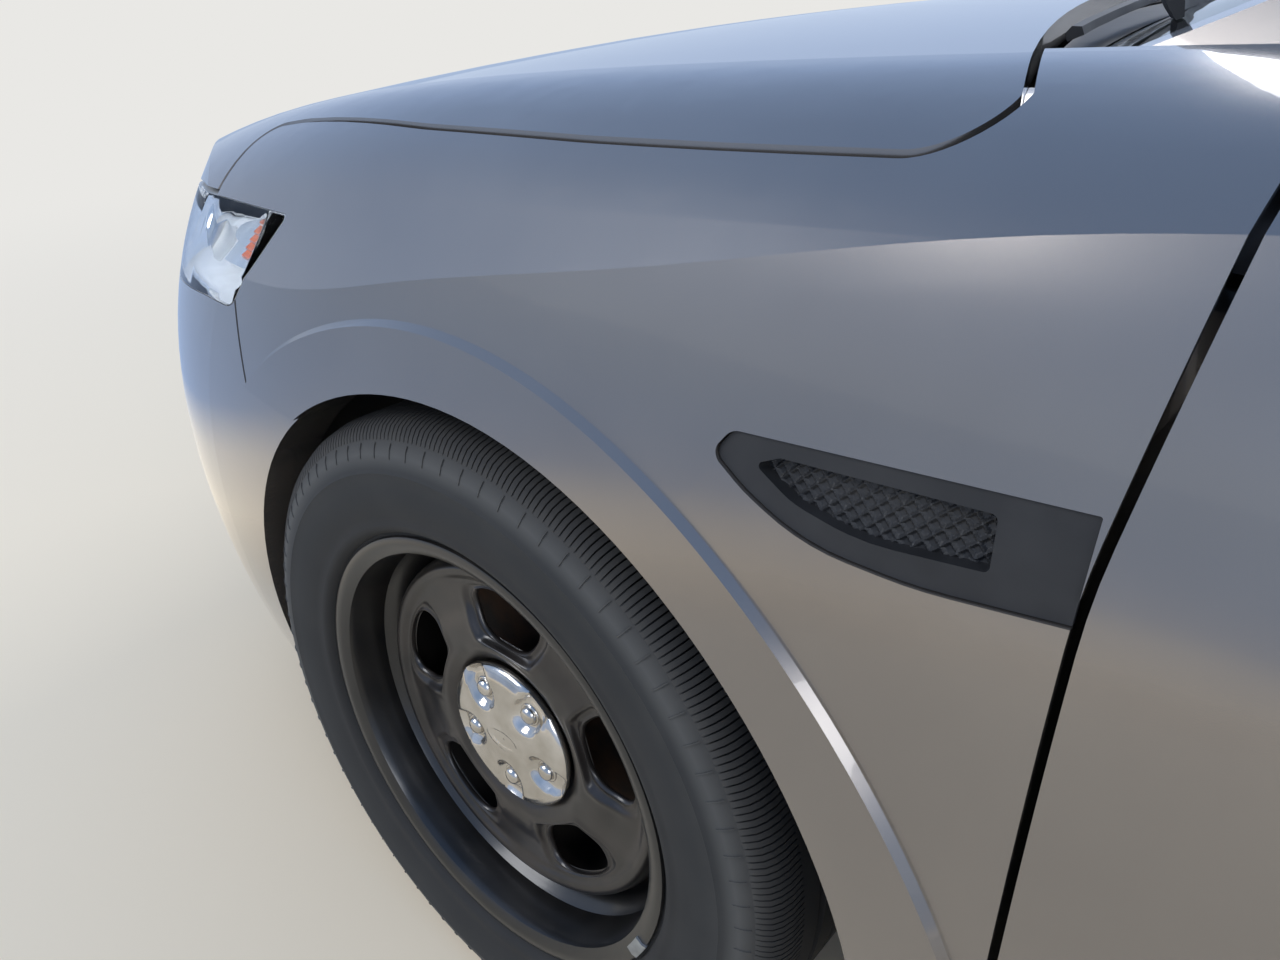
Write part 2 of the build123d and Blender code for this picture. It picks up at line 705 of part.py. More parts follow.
swing_room = joined(
    rod((HINGE_X, DOOR_AXES[0], SILL_TOP), (HINGE_X, DOOR_AXES[0], SWING_TOP), SWING_ROOM[0]),
    rod((HINGE_X, DOOR_AXES[1], SILL_TOP), (HINGE_X, DOOR_AXES[1], SWING_TOP), SWING_ROOM[1]),
)
body_side = joined(lower_side, upper, joined(without(posts, door_room, swing_room), pillar_foot, hinges))
body_side = largest(body_side)
write(body_side, "body_side_left")
write(other_side(body_side), "body_side_right")


# Fenders with a ledge for the hood, rolled wheel arch lips and vents
def arch_ring(centre, inner, outer, near, far):
    return without(arch_cut(centre, outer, near, far), arch_cut(centre, inner, near - 1, far + 1))


bumper_room = side_block(FRONT_BUMPER_LINE, -OUTSIDE, OUTSIDE, SEAM)
bumper_zone = side_block(FRONT_BUMPER_LINE, -OUTSIDE, OUTSIDE)
hood_rim = hood_block(SHUT_GAP + 4)
hood_inside = hood_block(-20)
above_sill = box((300, OUTSIDE), (-2300, -900), (SILL_TOP + SEAM, 1200))
lip_ring = arch_ring(FRONT_ARCH, ARCH_RADIUS - 10, ARCH_RADIUS + LIP, LIP_INNER, OUTSIDE)
flare_cone = cone_x(FRONT_ARCH, FLARE_HEIGHT, FLARE_RADIUS, HALF_WIDTH)
flared = common(joined(shells[0], common(shells[-FLARE_PROUD], flare_cone)), above_sill)
hood_room = without(hood_hole, shells[LEDGE])
gutter = common(hood_rim, side_block(GUTTER_LINE, 0, OUTSIDE))
fender_hollow = without(common(shells[SKIN], above_sill), joined(gutter, lip_ring))
fender = without(
    flared,
    fender_hollow,
    hood_room,
    hood_inside,
    arch_cut(FRONT_ARCH, ARCH_RADIUS),
    front_door_hole,
    bumper_room,
    lamp_hole,
    side_block(VENT_LINE, 800, OUTSIDE, SEAM, VENT_RADII),
    box((-1, COWL_HALF_WIDTH + SEAM), (-1400, -900), (800, 1200)),
    cabins[-SEAM],
)
fender = largest(fender)
write(fender, "fender_left")
write(other_side(fender), "fender_right")

vent_zone = side_block(VENT_LINE, 800, OUTSIDE, 0, VENT_RADII)
vent = joined(
    without(common(shells[VENT_RECESS], vent_zone, box((800, OUTSIDE), (-1300, -1058), (700, 900))), shells[COWL_DROP]),
    without(common(shells[VENT_RECESS], vent_zone, box((800, OUTSIDE), (-1060, -900), (700, 900))), shells[SKIN]),
)
vent = without(vent, side_block(VENT_MESH_LINE, 800, OUTSIDE, 0, VENT_MESH_RADII))
write(both_sides(vent), "fender_vents")


# Hood, boot lid, cowl and deck
hood = without(
    common(hood_wall, hood_block(0)),
    lamp_block(SHUT_GAP),
    other_side(lamp_block(SHUT_GAP)),
)
hood = largest(hood)
write(hood, "hood")
lid = largest(common(hood_wall, lid_block(0)))
write(lid, "trunk_lid")
cowl = without(common(shells[COWL_DROP], cowl_zone), shells[SHELL_WALL], cabins[-SEAM])
cowl = largest(cowl)
write(cowl, "cowl_panel")
deck_edge = TAIL_LAMP_INNER - SEAM
deck_zone = box((-deck_edge, deck_edge), (1400, 1800), (1000, 1200))
deck = without(common(shell_wall, deck_zone), lid_room, lid_inside, cabins[-SEAM])
deck = largest(deck)
write(deck, "rear_deck_panel")


# Lamps, bumpers and grille
lamp = common(door_wall, lamp_block(0))
write(both_sides(largest(lamp)), "headlamps")
tail_lamp = common(door_wall, side_block(TAIL_LAMP_LINE, TAIL_LAMP_INNER, OUTSIDE, 0, TAIL_LAMP_RADII))
write(both_sides(largest(tail_lamp)), "tail_lamps")

grille_hole = front_block(GRILLE_LINE, -2800, -2200, 0, 24)
intake_hole = front_block(INTAKE_LINE, -2800, -2200, 0, 24)
fog_hole = front_block(FOG_LINE, -2800, -2000, 0, 20)
bumper_half = common(bumper_zone, box((0, OUTSIDE), (-2800, -1500), (0, 900)))
bumper_hollow = without(common(shells[SKIN], bumper_half), lip_ring)
left_bumper = without(
    common(shells[0], bumper_half),
    bumper_hollow,
    arch_cut(FRONT_ARCH, ARCH_RADIUS),
    lamp_hole,
    hood_hole,
    grille_hole,
    intake_hole,
    fog_hole,
)
front_bumper = both_sides(largest(left_bumper))
write(front_bumper, "front_bumper")

# Columns: outline, height of the lowest bar, number of bars
GRILLES = ((GRILLE_LINE, 560, 5), (INTAKE_LINE, 300, 2))
grille_edge = joined(*[front_block(line, -2800, -2200, -SEAM, 24) for line, first, count in GRILLES])
grille_inside = joined(*[front_block(line, -2800, -2200, -SEAM - GRILLE_BAR, 24) for line, first, count in GRILLES])
bars = [
    box((-OUTSIDE, OUTSIDE), (-2800, -2200), (first + i * GRILLE_PITCH, first + i * GRILLE_PITCH + GRILLE_BAR))
    for line, first, count in GRILLES
    for i in range(count)
]
grille_lines = joined(without(grille_edge, grille_inside), common(grille_inside, joined(*bars)))
write(without(common(shells[SKIN], grille_lines), shells[HOOD_WALL]), "grille")

PIPE_NOTCH = box((455, 575), (2300, 2800), (0, 345))
rear_bumper = without(
    common(skin_wall, side_block(REAR_BUMPER_LINE, -OUTSIDE, OUTSIDE)),
    arch_cut(REAR_ARCH, ARCH_RADIUS),
    arch_cut(REAR_ARCH, ARCH_RADIUS, -OUTSIDE, -LINER_INNER),
    PIPE_NOTCH,
    other_side(PIPE_NOTCH),
)
write(largest(rear_bumper), "rear_bumper")


# Wheel house liners
front_liner = joined(
    arch_ring(FRONT_ARCH, LINER_RADIUS - LINER_WALL, LINER_RADIUS, FRONT_LINER[0], FRONT_LINER[1]),
    arch_ring(FRONT_ARCH, ARCH_RADIUS + LIP + SEAT, LINER_RADIUS, FRONT_LINER[1] - 4, FRONT_LINER[1]),
)
front_liner = without(
    common(front_liner, box((0, OUTSIDE), (-2400, 0), (240, 900)), shells[SHELL_WALL]),
    rod(kingpin(600), kingpin(1000), LINER_HOLE),
)
rear_liner = joined(
    arch_ring(REAR_ARCH, LINER_RADIUS - LINER_WALL, LINER_RADIUS, REAR_LINER[0], REAR_LINER[1]),
    arch_cut(REAR_ARCH, LINER_RADIUS, REAR_LINER[0], REAR_LINER[0] + 4),
)
rear_liner = without(
    common(rear_liner, box((0, OUTSIDE), (0, 2400), (240, 900)), shells[SHELL_WALL]),
    box((0, 600), (0, 2400), (0, 500)),
)
write(both_sides(joined(front_liner, rear_liner)), "arch_liners")


# Floor, front structure and engine
def strip(points, thickness):
    """Band of even thickness along a line of points."""
    half_width = thickness / 2
    normals = []
    for (ay, az), (by, bz) in zip(points, points[1:]):
        length = hypot(by - ay, bz - az)
        normals.append((-(bz - az) / length, (by - ay) / length))
    joints = [normals[0]]
    for (ay, az), (by, bz) in zip(normals, normals[1:]):
        scale = 1 + ay * by + az * bz
        joints.append(((ay + by) / scale, (az + bz) / scale))
    joints.append(normals[-1])
    upper_edge = [(y + half_width * n[0], z + half_width * n[1]) for (y, z), n in zip(points, joints)]
    lower_edge = [(y - half_width * n[0], z - half_width * n[1]) for (y, z), n in zip(points, joints)]
    return upper_edge + lower_edge[::-1]


edge = FLOOR_EDGE - SEAT
tunnel_outer = front_block(((-170, 226), (170, 226), (125, 370), (-125, 370)), -1060, 430)
tunnel_inner = front_block(((-158, 100), (158, 100), (158, 226), (117, 360), (-117, 360), (-158, 226)), -1200, 425)
boot_floor = common(box((-880, 880), (1800, 2345), (FLOOR_HEIGHTS[2] - 6, FLOOR_HEIGHTS[2] + 6)), shells[POST_DEPTH])
floor_pan = without(
    joined(
        side_block(strip(FLOOR_LINE, 12), -edge, edge),
        tunnel_outer,
        boot_floor,
        box((-560, 560), (2338, 2350), (FLOOR_HEIGHTS[2], 745)),
    ),
    tunnel_inner,
    arch_cut(FRONT_ARCH, LINER_RADIUS + SEAT, FRONT_LINER[0] - SEAT),
    arch_cut(FRONT_ARCH, LINER_RADIUS + SEAT, -OUTSIDE, SEAT - FRONT_LINER[0]),
    arch_cut(REAR_ARCH, LINER_RADIUS + SEAT, REAR_LINER[0] - SEAT),
    arch_cut(REAR_ARCH, LINER_RADIUS + SEAT, -OUTSIDE, SEAT - REAR_LINER[0]),
)
write(floor_pan, "floor_pan")
bulkhead = joined(
    box((-540, 540), (1084, 1096), (FLOOR_HEIGHTS[2] + 6 + SEAT, 1000)),
    box((-600, 600), (1084, 1640), (1000, 1012)),
)
write(bulkhead, "parcel_shelf")

left_structure = joined(
    box((355, 445), (-2345, -1141.6), (430, 550)),
    box((440, 480), (-1900, -1190), (500, 880)),
    box((460, 560), (-1620, -1454), (850, 880)),
    rod(kingpin(800), kingpin(905), TOWER_RADIUS),
    box((355, 445), (-2345, -2315), (300, 740)),
    box((0, 480), (-2345, -2315), (728, 766)),
    box((0, 445), (-2345, -2315), (262, 310)),
    box((360, 440), (-2420, -2340), (450, 530)),
    common(box((0, 560), (-2470, -2400), (440, 540)), shells[POST_DEPTH]),
)
left_structure = without(left_structure, rod(kingpin(780), kingpin(897), TOWER_RADIUS - 8))
write(both_sides(left_structure), "front_structure")
write(box((-355 + SEAT, 355 - SEAT), (-2312, -2262), (312, 700)), "radiator")
engine = joined(
    box((-330, 330), (-1950, -1300), (300, 850)),
    box((-355 + SEAT, 355 - SEAT), (-1700, -1600), (450, 530)),
)
write(engine, "engine_block")


# Suspension
def hub(y, face):
    """Wheel bearing housing with brake disc, flange and spigot along the wheel's axis."""
    return joined(
        cylinder_x(y, TYRE_RADIUS, 45, face - 150, face - 4),
        cylinder_x(y, TYRE_RADIUS, BRAKE_RADIUS, face - 62, face - 36),
        cylinder_x(y, TYRE_RADIUS, 70, face - 12, face - SEAT),
        cylinder_x(y, TYRE_RADIUS, HUB_BORE - RUNNING, face - 12, face + 10),
    )


knuckle = joined(
    hub(FRONT_AXLE, DISC_BACK),
    rod(kingpin(190), kingpin(230), 10),
    rod(kingpin(222), kingpin(450), 30),
    rod(kingpin(440), kingpin(896.5), 28),
    rod(kingpin(745), kingpin(889), 60),
)
write(knuckle, "knuckle_left")
write(other_side(knuckle), "knuckle_right")

ARM_LINE = ((390, -1690), (390, -1400), (600, -1470), (797, -1516), (797, -1558), (600, -1604))
front_arm = without(
    joined(plan_block(ARM_LINE, 196, 214, 0, 12), rod(kingpin(193), kingpin(217), 26)),
    rod(kingpin(100), kingpin(300), 10 + RUNNING),
)
front_cradle = joined(
    front_arm,
    box((0, 400), (-1700, -1390), (196, 260)),
    box((365, 435), (-1690, -1620), (250, 430 - SEAT)),
    box((365, 435), (-1460, -1400), (250, 430 - SEAT)),
)
rear_cradle = joined(
    hub(REAR_AXLE, DISC_BACK),
    box((300, DISC_BACK - 100), (REAR_AXLE - 35, REAR_AXLE + 35), (300, 336)),
    box((0, 340), (1180, 1470), (270, 330)),
    rod((470, REAR_AXLE, 320), (470, REAR_AXLE, FLOOR_HEIGHTS[2] - 6 - SEAT), 52),
    rod((690, REAR_AXLE, 330), (690, REAR_AXLE, 395), 60),
)
write(both_sides(front_cradle), "front_suspension")
write(both_sides(rear_cradle), "rear_suspension")


# Wheels
def turned(profile, x, y):
    """Ring about an axle along X at (x, y), from a profile of (offset, radius)."""
    with BuildPart() as ring:
        with BuildSketch(Plane(origin=(x, y, TYRE_RADIUS), x_dir=(1, 0, 0), z_dir=(0, -1, 0))):
            with BuildLine():
                Polyline(*profile, close=True)
            make_face()
        revolve(axis=Axis((x, y, TYRE_RADIUS), (1, 0, 0)))
    return ring.part


TYRE_PROFILE = (
    (-98, RIM_RADIUS - 1.2),
    (-TYRE_WIDTH / 2, 300),
    (-TREAD_WIDTH / 2 + 5, TYRE_RADIUS),
    (TREAD_WIDTH / 2 - 5, TYRE_RADIUS),
    (TYRE_WIDTH / 2, 300),
    (98, RIM_RADIUS - 1.2),
)
RIM_PROFILE = (
    (-RIM_WIDTH / 2, FLANGE_RADIUS),
    (-106.5, FLANGE_RADIUS),
    (-106.5, RIM_RADIUS - 1.2 - SEAT),
    (-88, RIM_RADIUS - 1.2 - SEAT),
    (-70, RIM_RADIUS - 4),
    (-58, 206),
    (34, 206),
    (52, RIM_RADIUS - 4),
    (88, RIM_RADIUS - 1.2 - SEAT),
    (106.5, RIM_RADIUS - 1.2 - SEAT),
    (106.5, FLANGE_RADIUS),
    (RIM_WIDTH / 2, FLANGE_RADIUS),
    (RIM_WIDTH / 2, 228),
    (104, 221),
    (58, 219.5),
    (42, 200),
    (-63, 200),
    (-76, 219.5),
    (-102, 220),
    (-RIM_WIDTH / 2, 228),
)
DISC_PROFILE = (
    (38, HUB_BORE),
    (44, HUB_BORE),
    (44, 76),
    (64, 88),
    (68, 102),
    (62, 150),
    (60, 176),
    (66, 186),
    (66, 194),
    (44, 201),
    (30, 201),
    (30, 197),
    (54, 188),
    (54, 176),
    (56, 150),
    (61, 104),
    (57, 92),
    (38, 80),
)


def wheel_pieces(y):
    """Tyre, rim and centre cap of a left wheel, the cap resting on the disc."""
    tyre = turned(TYRE_PROFILE, HALF_TRACK, y)
    disc = turned(DISC_PROFILE, HALF_TRACK, y)
    with BuildSketch() as window_sketch:
        with BuildLine():
            FilletPolyline(*WINDOW_LINE, radius=14, close=True)
        make_face()
    with BuildPart() as windows:
        with BuildSketch(Plane(origin=(HALF_TRACK, y, TYRE_RADIUS), x_dir=(0, 1, 0), z_dir=(1, 0, 0))):
            with PolarLocations(0, WINDOW_COUNT, 90):
                add(window_sketch.sketch)
        extrude(amount=120)
    rim = joined(turned(RIM_PROFILE, HALF_TRACK, y), without(disc, windows.part))
    cap = turned(CAP_PROFILE, HALF_TRACK, y)
    return tyre, rim, cap


for place, y in (("front", FRONT_AXLE), ("rear", REAR_AXLE)):
    for kind, piece in zip(("tyre", "rim", "hub_cap"), wheel_pieces(y)):
        write(piece, f"{kind}_{place}_left")
        write(other_side(piece), f"{kind}_{place}_right")


# Cabin furniture
def cushion(profile, near, far):
    """Upholstered block with a side outline, between two x positions."""
    return side_block(profile, near, far, 0, 35)


FRONT_SEAT_BASE = ((-430, 231.4), (-480, 430), (-440, 500), (-60, 450), (-20, 450), (30, 231.4))
FRONT_SEAT_BACK = ((-40, 440), (110, 960), (190, 990), (230, 960), (120, 420), (20, 400))
HEAD_REST = ((145, 965), (160, 1165), (250, 1165), (225, 960))
front_seat = joined(
    side_block(FRONT_SEAT_BASE, 190, 690),
    cushion(FRONT_SEAT_BACK, 195, 685),
    side_block(HEAD_REST, 320, 560, 0, 25),
)
write(front_seat, "front_seat_left")
write(other_side(front_seat), "front_seat_right")
REAR_SEAT_LINE = (
    (500, 391.4),
    (490, 560),
    (840, 530),
    (950, 1010),
    (1075, 1010),
    (1075, 540),
    (985, 391.4),
)
write(side_block(REAR_SEAT_LINE, -540, 540), "rear_seat")

DASH_LINE = ((-1174.6, 990), (-1145.4, 710), (-900, 690), (-800, 880), (-800, 960), (-870, 1005), (-1090, 1010))
STEERING_WHEEL = (435, -600, 940)
dashboard = joined(
    side_block(DASH_LINE, -684, 684),
    rod((435, -880, 810), STEERING_WHEEL, 24),
    hoop(STEERING_WHEEL, (0, 280, 130), 180, 14),
    rod((435, -606, 937), (435, -575, 951), 60),
    plan_block(((255, -610), (615, -610), (615, -590), (255, -590)), 934, 946),
)
write(dashboard, "dashboard")


# Mirrors, light bar, exhaust and fuel tank
MIRROR_FOOT = ((735, 1056), (905, 1030), (930, 1050), (930, 1080), (735, 1100))
with BuildPart() as shell:
    add(box((905, 1120), (-890, -775), (1020, 1160)))
    fillet(shell.edges().filter_by(Axis.Y), 45)
    fillet(shell.faces().sort_by(Axis.Y)[0].edges(), 40)
mirror_piece = without(
    joined(shell.part, front_block(MIRROR_FOOT, -870, -800)),
    cabins[-SEAM],
    shells[0].moved(Location((0, 0, SEAM))),
)
mirror_piece = largest(mirror_piece)
write(mirror_piece, "mirror_left")
write(other_side(mirror_piece), "mirror_right")

with BuildPart() as bar:
    add(box((-580, 580), (-30, 250), (1562, 1646)))
    fillet(bar.edges().filter_by(Axis.Z), 60)
    fillet(bar.faces().sort_by(Axis.Z)[-1].edges(), 25)
bar_feet = [box(x, (40, 180), (1480, 1570)) for x in ((340, 420), (-420, -340))]
light_bar = without(joined(bar.part, *bar_feet), cabins[-SEAM])
write(light_bar, "light_bar")

exhaust = joined(
    rod((250, -1000, 185), (250, 1620, 185), 27),
    rod((250, 1620, 185), (430, 1830, 320), 27),
    cylinder_x(1620, 185, 27, 230, 270),
    rod((430, 1800, 330), (430, 2240, 330), 82),
    rod((430, 2230, 330), (518, 2560, 292), 32),
    box((240, 260), (-10, 10), (185, FLOOR_HEIGHTS[0] - 6 - SEAT)),
    rod((430, 2000, 400), (430, 2000, FLOOR_HEIGHTS[2] - 6 - SEAT), 9),
)
write(both_sides(exhaust), "exhaust")
write(box((-560, 560), (500, 985), (228, FLOOR_HEIGHTS[1] - 6 - SEAT)), "fuel_tank")
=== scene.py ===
# %% [markdown]
# A police patrol car is a big saloon with plain steel wheels, bright centre caps and dark metallic
# paint. The CAD frame already has every panel, door and wheel at its real size, so this lesson only
# dresses it: it gives each panel its finish and adds what a press shop or a moulding shop would add.
# Everything is in metres, with the nose towards -Y and the car's left side towards +X.

# %% Load the frame
import bpy
import bmesh
from math import atan2, cos, exp, hypot, pi, radians, sin
from mathutils import Matrix, Vector
from mathutils.bvhtree import BVHTree


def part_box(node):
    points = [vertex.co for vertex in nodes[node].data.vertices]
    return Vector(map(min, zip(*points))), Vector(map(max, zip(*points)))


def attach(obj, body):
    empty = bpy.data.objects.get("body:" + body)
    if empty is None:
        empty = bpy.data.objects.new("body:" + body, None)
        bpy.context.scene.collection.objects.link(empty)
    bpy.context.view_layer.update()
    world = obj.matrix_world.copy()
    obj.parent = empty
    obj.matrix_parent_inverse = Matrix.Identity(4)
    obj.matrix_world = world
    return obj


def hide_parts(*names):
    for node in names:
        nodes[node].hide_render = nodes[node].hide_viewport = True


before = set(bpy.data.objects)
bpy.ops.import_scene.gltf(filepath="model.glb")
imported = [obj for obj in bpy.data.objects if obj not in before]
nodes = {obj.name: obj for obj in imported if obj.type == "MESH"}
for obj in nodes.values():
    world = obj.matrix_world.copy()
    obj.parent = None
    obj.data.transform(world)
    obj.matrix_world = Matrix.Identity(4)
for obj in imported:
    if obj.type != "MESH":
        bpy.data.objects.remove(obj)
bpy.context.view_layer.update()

# %% [markdown]
# The photograph was taken by someone standing beside the driver's door and looking down past the
# fender to the front wheel. A wide lens from 1.1 m up gives the strong perspective. The camera is
# placed by its position and its two directions, because that is what the picture fixes.

# %% Camera
camera_data = bpy.data.cameras.new("camera")
camera_data.sensor_width = 36
camera_data.lens = 27.96
camera_data.clip_start = 0.02
camera = bpy.data.objects.new("camera", camera_data)
bpy.context.scene.collection.objects.link(camera)
look = Vector((-0.66474, -0.58113, -0.46949))
right = Vector((-0.65560, 0.75508, -0.00639))
up = right.cross(look)
turn = Matrix((right, up, -look)).transposed().to_4x4()
camera.matrix_world = Matrix.Translation((1.40567, -0.90939, 1.08743)) @ turn
bpy.context.scene.camera = camera
print("camera", [round(v, 3) for v in camera.location])

# %% [markdown]
# A studio floor and soft light show the paint without hard spots. Glossy paint is mostly a mirror,
# so the world around it matters more than the lamps: pale at the horizon and cooler overhead, as an
# open sky is. The camera itself sees plain white behind the car.

# %% Floor, world and lamps
scene = bpy.context.scene
scene.view_settings.view_transform = "Standard"


def linear(code):
    """An sRGB hex value as linear red, green, blue and alpha."""
    parts = [int(code[i:i + 2], 16) / 255 for i in (1, 3, 5)]
    return tuple(c / 12.92 if c <= 0.04045 else ((c + 0.055) / 1.055) ** 2.4 for c in parts) + (1.0,)


def put(tree, kind, settings=None, links=None):
    """Add one shader node, set its properties or inputs, and link its inputs."""
    made = tree.nodes.new("ShaderNode" + kind)
    for key, value in (settings or {}).items():
        if isinstance(key, int) or key in made.inputs:
            made.inputs[key].default_value = value
        else:
            setattr(made, key, value)
    for key, source in (links or {}).items():
        tree.links.new(source, made.inputs[key])
    return made


def ranged(tree, source, low, high, **settings):
    """Share from 0 to 1 of the way of a value from low to high."""
    return put(tree, "MapRange", {"From Min": low, "From Max": high, **settings}, {0: source}).outputs[0]


floor_bm = bmesh.new()
bmesh.ops.create_grid(floor_bm, x_segments=1, y_segments=1, size=40)
floor_mesh = bpy.data.meshes.new("studio_floor")
floor_bm.to_mesh(floor_mesh)
floor_bm.free()
floor = bpy.data.objects.new("studio_floor", floor_mesh)
scene.collection.objects.link(floor)
floor_finish = bpy.data.materials.new("matt_studio_floor")
floor_finish.use_nodes = True
floor_shader = floor_finish.node_tree.nodes["Principled BSDF"]
floor_shader.inputs["Base Color"].default_value = linear("#ead9bd")
floor_shader.inputs["Roughness"].default_value = 1.0
floor_shader.inputs["Specular IOR Level"].default_value = 0.0
floor_mesh.materials.append(floor_finish)

# Beyond about three metres the panels mirror a bright bank and then open sky, not the floor. These
# are distances from the middle of the car.
BANK_FROM, BANK_FULL, SKY_FULL = 2.6, 3.0, 9.0
PALE_FROM, PALE_FULL = 2.2, 6.5
far_tree = floor_finish.node_tree
ground = put(far_tree, "NewGeometry")
away = put(far_tree, "VectorMath", {"operation": "LENGTH"}, {0: ground.outputs["Position"]})
far_off = away.outputs["Value"]
band = put(far_tree, "ValToRGB", links={0: ranged(far_tree, far_off, BANK_FROM, SKY_FULL)})
band.color_ramp.elements[0].color = linear("#c9bfb0")
band.color_ramp.elements[1].color = linear("#a9bddc")
for place, colour in ((0.07, "#fff6e6"), (0.13, "#f4f0ea"), (0.20, "#a6bbdf")):
    band.color_ramp.elements.new(place).color = linear(colour)
glow = put(far_tree, "Emission", {"Strength": 1.0}, {"Color": band.outputs[0]})
ray_kind = put(far_tree, "LightPath")
starts = ranged(far_tree, far_off, BANK_FROM, BANK_FULL)
mirrored_part = put(
    far_tree, "Math", {"operation": "MULTIPLY"}, {0: starts, 1: ray_kind.outputs["Is Glossy Ray"]}
)
blend = put(
    far_tree, "MixShader",
    links={0: mirrored_part.outputs[0], 1: floor_shader.outputs[0], 2: glow.outputs[0]}
)
pale = put(far_tree, "Emission", {"Color": linear("#e9e8e5"), "Strength": 1.0})
fades = ranged(far_tree, far_off, PALE_FROM, PALE_FULL, interpolation_type="SMOOTHSTEP")
seen_far = put(
    far_tree, "Math", {"operation": "MULTIPLY"}, {0: fades, 1: ray_kind.outputs["Is Camera Ray"]}
)
backdrop = put(
    far_tree, "MixShader",
    links={0: seen_far.outputs[0], 1: blend.outputs[0], 2: pale.outputs[0]}
)
far_tree.links.new(backdrop.outputs[0], far_tree.nodes["Material Output"].inputs["Surface"])

world = bpy.data.worlds.new("open_sky")
scene.world = world
world.use_nodes = True
sky = world.node_tree
background = sky.nodes["Background"]
coords = put(sky, "TexCoord")
axes = put(sky, "SeparateXYZ", links={0: coords.outputs["Generated"]})
ramp = put(sky, "ValToRGB", links={0: axes.outputs["Z"]})
ramp.color_ramp.elements[0].position = 0.0
ramp.color_ramp.elements[0].color = linear("#bccbe2")
ramp.color_ramp.elements[1].position = 0.80
ramp.color_ramp.elements[1].color = linear("#86a5d4")
for height, colour in ((0.12, "#b3c5e3"), (0.35, "#9fb8e0")):
    ramp.color_ramp.elements.new(height).color = linear(colour)
sky.links.new(ramp.outputs[0], background.inputs["Color"])
background.inputs["Strength"].default_value = 1.15
white = put(sky, "Background", {"Color": linear("#f2f2f1"), "Strength": 1.0})
rays = put(sky, "LightPath")
mixed = put(
    sky, "MixShader",
    links={0: rays.outputs["Is Camera Ray"], 1: background.outputs[0], 2: white.outputs[0]}
)
sky.links.new(mixed.outputs[0], sky.nodes["World Output"].inputs["Surface"])


def lamp(name, place, target, size, power):
    """Soft rectangular lamp aimed at a point."""
    data = bpy.data.lights.new(name, "AREA")
    data.shape = "RECTANGLE"
    data.size, data.size_y = size
    data.energy = power
    holder = bpy.data.objects.new(name, data)
    scene.collection.objects.link(holder)
    way = Vector(target) - Vector(place)
    holder.matrix_world = Matrix.Translation(place) @ way.to_track_quat("-Z", "Y").to_matrix().to_4x4()


lamp("key_lamp", (6.5, -5.5, 6.0), (0.6, -1.0, 0.4), (4.0, 4.0), 420)
lamp("fill_lamp", (5.0, 5.5, 4.5), (0, 0.8, 0.5), (4.0, 4.0), 220)
lamp("back_lamp", (-6.0, -1.0, 5.0), (0, 0, 0.6), (4.0, 4.0), 220)

# %% [markdown]
# Every finish starts from what the part is made of. One recipe covers most of them: a base colour
# that drifts between two close tones, roughness that drifts with it, and a little bump. The drift
# is tied to Object coordinates, so it stays on the piece when a door swings.

# %% A recipe for a finish
finishes = {}
# Names of the finishes that are used most
BLACK, CLOTH = "moulded_black_polypropylene", "woven_seat_cloth"
PAINT = "two_coat_graphite_metallic_paint"


def finish(name, dark, light, grain_mm, rough, metallic=0.0, bump_mm=0.0, **sockets):
    """A named material whose colour and roughness drift over patches of grain_mm."""
    material = bpy.data.materials.new(name)
    material.use_nodes = True
    tree = material.node_tree
    shader = tree.nodes["Principled BSDF"]
    shader.inputs["Metallic"].default_value = metallic
    for socket, value in sockets.items():
        shader.inputs[socket.replace("_", " ")].default_value = value
    place = put(tree, "TexCoord")
    patches = put(
        tree, "TexNoise", {"Scale": 1000 / grain_mm, "Detail": 4.0},
        {"Vector": place.outputs["Object"]}
    )
    tones = put(tree, "ValToRGB", links={0: patches.outputs[0]})
    tones.color_ramp.elements[0].position = 0.35
    tones.color_ramp.elements[1].position = 0.65
    tones.color_ramp.elements[0].color = linear(dark)
    tones.color_ramp.elements[1].color = linear(light)
    tree.links.new(tones.outputs[0], shader.inputs["Base Color"])
    spread = put(
        tree, "MapRange", {"To Min": rough[0], "To Max": rough[1]}, {0: patches.outputs[0]}
    )
    tree.links.new(spread.outputs[0], shader.inputs["Roughness"])
    if bump_mm:
        relief = put(
            tree, "Bump", {"Distance": bump_mm / 1000, "Strength": 1.0},
            {"Height": patches.outputs[0]}
        )
        tree.links.new(relief.outputs[0], shader.inputs["Normal"])
    finishes[name] = material
    return material


def wear(name, *pieces):
    """Put a finish on CAD nodes by name."""
    for piece in pieces:
        made = nodes[piece]
        if not made.material_slots:
            made.data.materials.append(finishes[name])
        for place in made.material_slots:
            place.material = finishes[name]


# %% [markdown]
# Graphite car paint has three layers: dark primer, a base coat full of aluminium flakes, and clear
# lacquer. The flakes make it lighter where it faces you, and the lacquer adds a sharp reflection on
# top. A metallic base with a coat gives both. Road film browns it in patches, more towards the sill.

